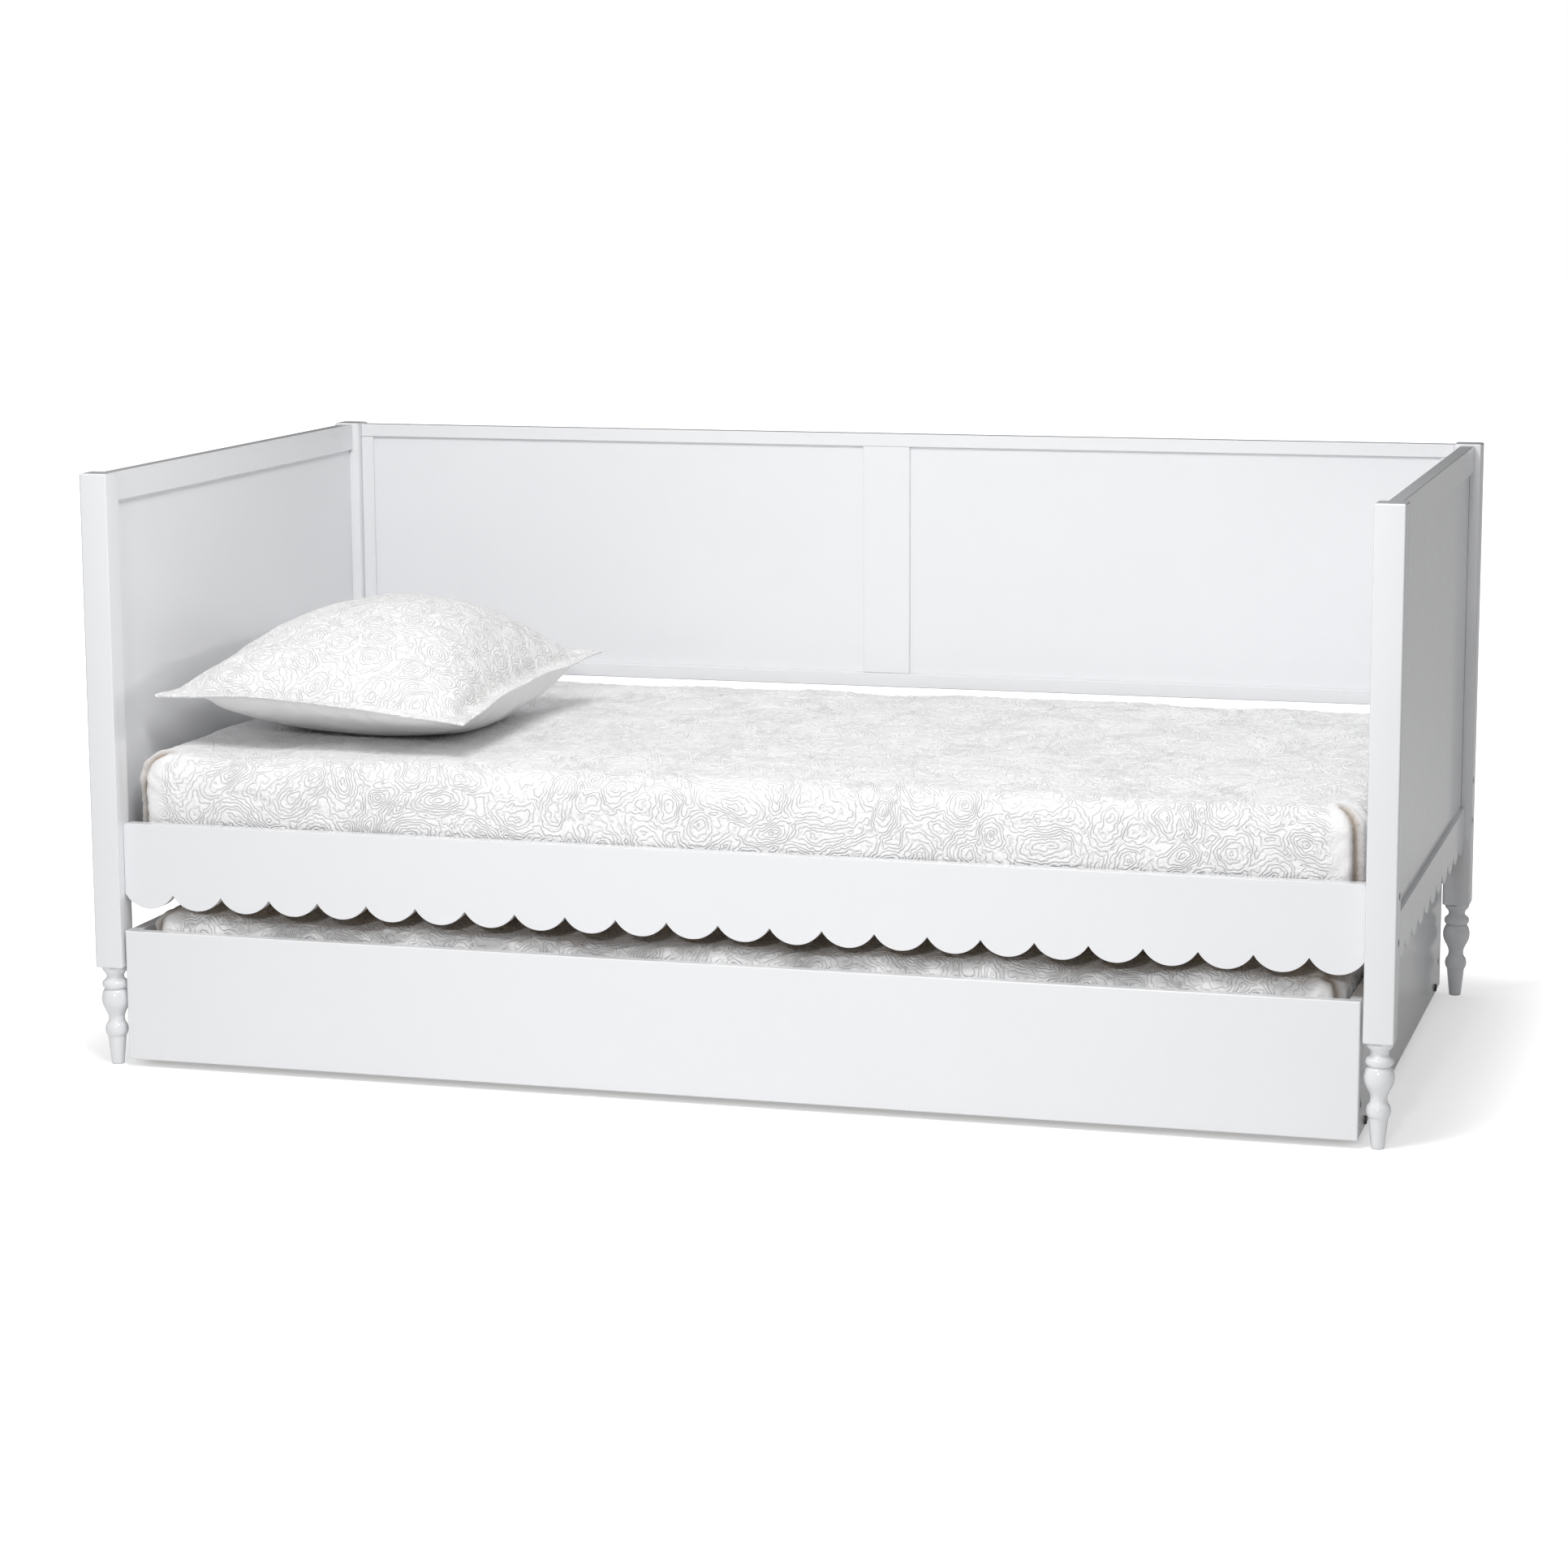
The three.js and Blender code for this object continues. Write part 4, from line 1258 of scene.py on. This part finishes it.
ledger_middles = [middle_of(f"trundle_ledger_{face}") for face in ("front", "back")]
ledger_bolts = side_bolts("trundle_ledger_bolts", [
    (f"trundle_{end}_side", side, middle.y, middle.z)
    for end, side in ENDS for middle in ledger_middles
])
settle(ledger_bolts, "trundle", "dark_steel")
for piece in (front_bolts, rear_bolts, ledger_bolts):
    print(piece.name, count_triangles(piece), "triangles")

# %% Screws through slats and deck boards
SCREW_SIZES = {"Head_radius": 0.0036, "Head_height": 0.0024, "Shank_radius": 0.0018,
               "Shank_length": 0.032, "Socket_radius": 0.0015, "Socket_depth": 0.0012, "Sides": 14}
SCREW_PROUD = 0.0002


def screw_row(x_places, y_places, z):
    return [(x, y, z + SCREW_PROUD) for x in x_places for y in y_places]


slat_points = []
ledger_rows = [middle_of(f"bed_ledger_{face}").y for face in ("front", "back")]
for number in range(1, 13):
    low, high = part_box(f"bed_slat_{number:02d}")
    inset = (high.x - low.x) * 0.25
    slat_points += screw_row((low.x + inset, high.x - inset), ledger_rows, high.z)
deck_points = []
deck_rows = [middle.y for middle in ledger_middles]
for where in ("left", "centre", "right"):
    low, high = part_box(f"trundle_deck_{where}")
    span = high.x - low.x
    places = [low.x + span * share for share in (0.06, 0.35, 0.65, 0.94)]
    deck_points += screw_row(places, deck_rows, high.z)
upward = (0.0, 0.0, 1.0)
slat_screws = bolt.grow(
    "slat_screws", dark_steel, slat_points, [upward] * len(slat_points), **SCREW_SIZES
)
settle(slat_screws, "bed_frame", "dark_steel")
deck_sizes = {**SCREW_SIZES, "Shank_length": 0.022}
deck_screws = bolt.grow(
    "deck_screws", dark_steel, deck_points, [upward] * len(deck_points), **deck_sizes
)
settle(deck_screws, "trundle", "dark_steel")
print("screws:", len(slat_points), "in the slats,", len(deck_points), "in the deck")

# %% [markdown]
# ## Wheels
# Each wheel is a moulded disc: a hub, a thin web stiffened by ribs and a rounded tread. The disc is
# turned from its profile. The ribs stand in a ring round the hub, so a recipe places one rib on
# each point of a circle. Wheel and axle bolt keep the places that the frame gives them.

# %% The wheel's ribs
def make_rib_recipe():
    sizes = {"Inner": 0.009, "Outer": 0.019, "Width": 0.012, "Thickness": 0.0016, "Ribs": 8}
    recipe = Recipe("wheel_ribs", sizes)
    reach = recipe["Outer"] - recipe["Inner"]
    middle = (recipe["Outer"] + recipe["Inner"]) * 0.5
    ring = {"Vertices": recipe["Ribs"], "Radius": middle}
    ring = recipe.shape("MeshCircle", None, ring)
    size = recipe.vector(reach, recipe["Thickness"], recipe["Width"])
    rib = recipe.shape("MeshCube", None, {"Size": size})
    outward = recipe.shape("InputPosition")
    turn = recipe.shape("FunctionNodeAlignRotationToVector", {"axis": "X"}, {"Vector": outward})
    recipe.close(recipe.shape(
        "InstanceOnPoints", None, {"Points": ring, "Instance": rib, "Rotation": turn}
    ))
    return recipe


wheel_ribs = make_rib_recipe()
print("rib recipe:", len(wheel_ribs.tree.nodes), "nodes")

# %% Make the wheels
HUB_RADIUS = 0.009
BORE_RADIUS = 0.0043
WEB_HALF = 0.0024
RIM_THICK = 0.0045
TREAD_ROUND = 0.003
TREAD_HALF = 0.009
WHEEL_SIDES = 48


def wheel_profile(radius, hub_half):
    """A closed outline from the bore over hub, web and rim; heights run along the axle."""
    inner = radius - RIM_THICK
    half = [
        (BORE_RADIUS, hub_half), (HUB_RADIUS - 0.0008, hub_half), (HUB_RADIUS, hub_half - 0.0008),
        (HUB_RADIUS + 0.0006, WEB_HALF), (inner - 0.0006, WEB_HALF), (inner, TREAD_HALF),
        (inner + 0.0008, TREAD_HALF + 0.0002),
    ]
    for turn in (math.pi / 2, math.pi / 3, math.pi / 6, 0.0):
        r = radius - TREAD_ROUND * (1 - math.cos(turn))
        half.append((r, TREAD_HALF - TREAD_ROUND * (1 - math.sin(turn))))
    return half + [(r, -h) for r, h in reversed(half)]


def make_wheel(face, end):
    node = f"wheel_{face}_{end}"
    low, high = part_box(node)
    radius = (high.z - low.z) / 2
    outline = wheel_profile(radius, (high.x - low.x) / 2)
    points = []
    for r, h in outline:
        for k in range(WHEEL_SIDES):
            turn = 2 * math.pi * k / WHEEL_SIDES
            points.append((h, r * math.cos(turn), r * math.sin(turn)))
    faces = ring_faces(len(outline), WHEEL_SIDES, closed=True)
    wheel = closed_object("moulded_" + node, points, faces, wheel_plastic)
    ribs = wheel_ribs.grow("ribs", wheel_plastic, Inner=HUB_RADIUS - 0.001, Outer=radius - 0.004)
    ribs.data.transform(Matrix.Rotation(math.pi / 2, 4, "Y"))
    combine(wheel, [ribs], "UNION")
    wheel.data.transform(Matrix.Translation(middle_of(node)))
    wheel.data.shade_smooth()
    wheel.data.set_sharp_from_angle(angle=math.radians(35))
    return settle(wheel, node, "wheel_plastic", node)


for face, end, _ in CORNERS:
    wheel = make_wheel(face, end)
    print(wheel.name, count_triangles(wheel), "triangles")

# %% Axle bolts and their lock nuts
NUT_RADIUS = 0.0072
NUT_THICK = 0.0042


def make_axle(face, end, side):
    """A flat-headed bolt through the side panel and the wheel, with a lock nut at its tip."""
    node = f"axle_bolt_{face}_{end}"
    low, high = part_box(node)
    centre = middle_of(node)
    head = (outer_face(node, side), centre.y, centre.z)
    axle = bolt.grow(
        f"axle_{face}_{end}", dark_steel, [head], [(side, 0.0, 0.0)],
        Head_height=0.003, Shank_length=(high.x - low.x) - 0.003,
    )
    inner_x = outer_face(f"wheel_{face}_{end}", -side) - side * GAP
    nut_side = -side * NUT_THICK
    profile = [(0.003, 0.0), (NUT_RADIUS, 0.0), (NUT_RADIUS, nut_side * 0.85), (0.006, nut_side),
               (0.003, nut_side)]
    nut = turned("nut", profile, 6, (inner_x, centre.y, centre.z), dark_steel, axis=0)
    merged = bmesh.new()
    for part in (axle, nut):
        merged.from_mesh(part.data)
    merged.to_mesh(axle.data)
    merged.free()
    bpy.data.objects.remove(nut)
    return settle(axle, "trundle", "dark_steel", node)


for face, end, side in CORNERS:
    axle = make_axle(face, end, side)
    print(axle.name, count_triangles(axle), "triangles")
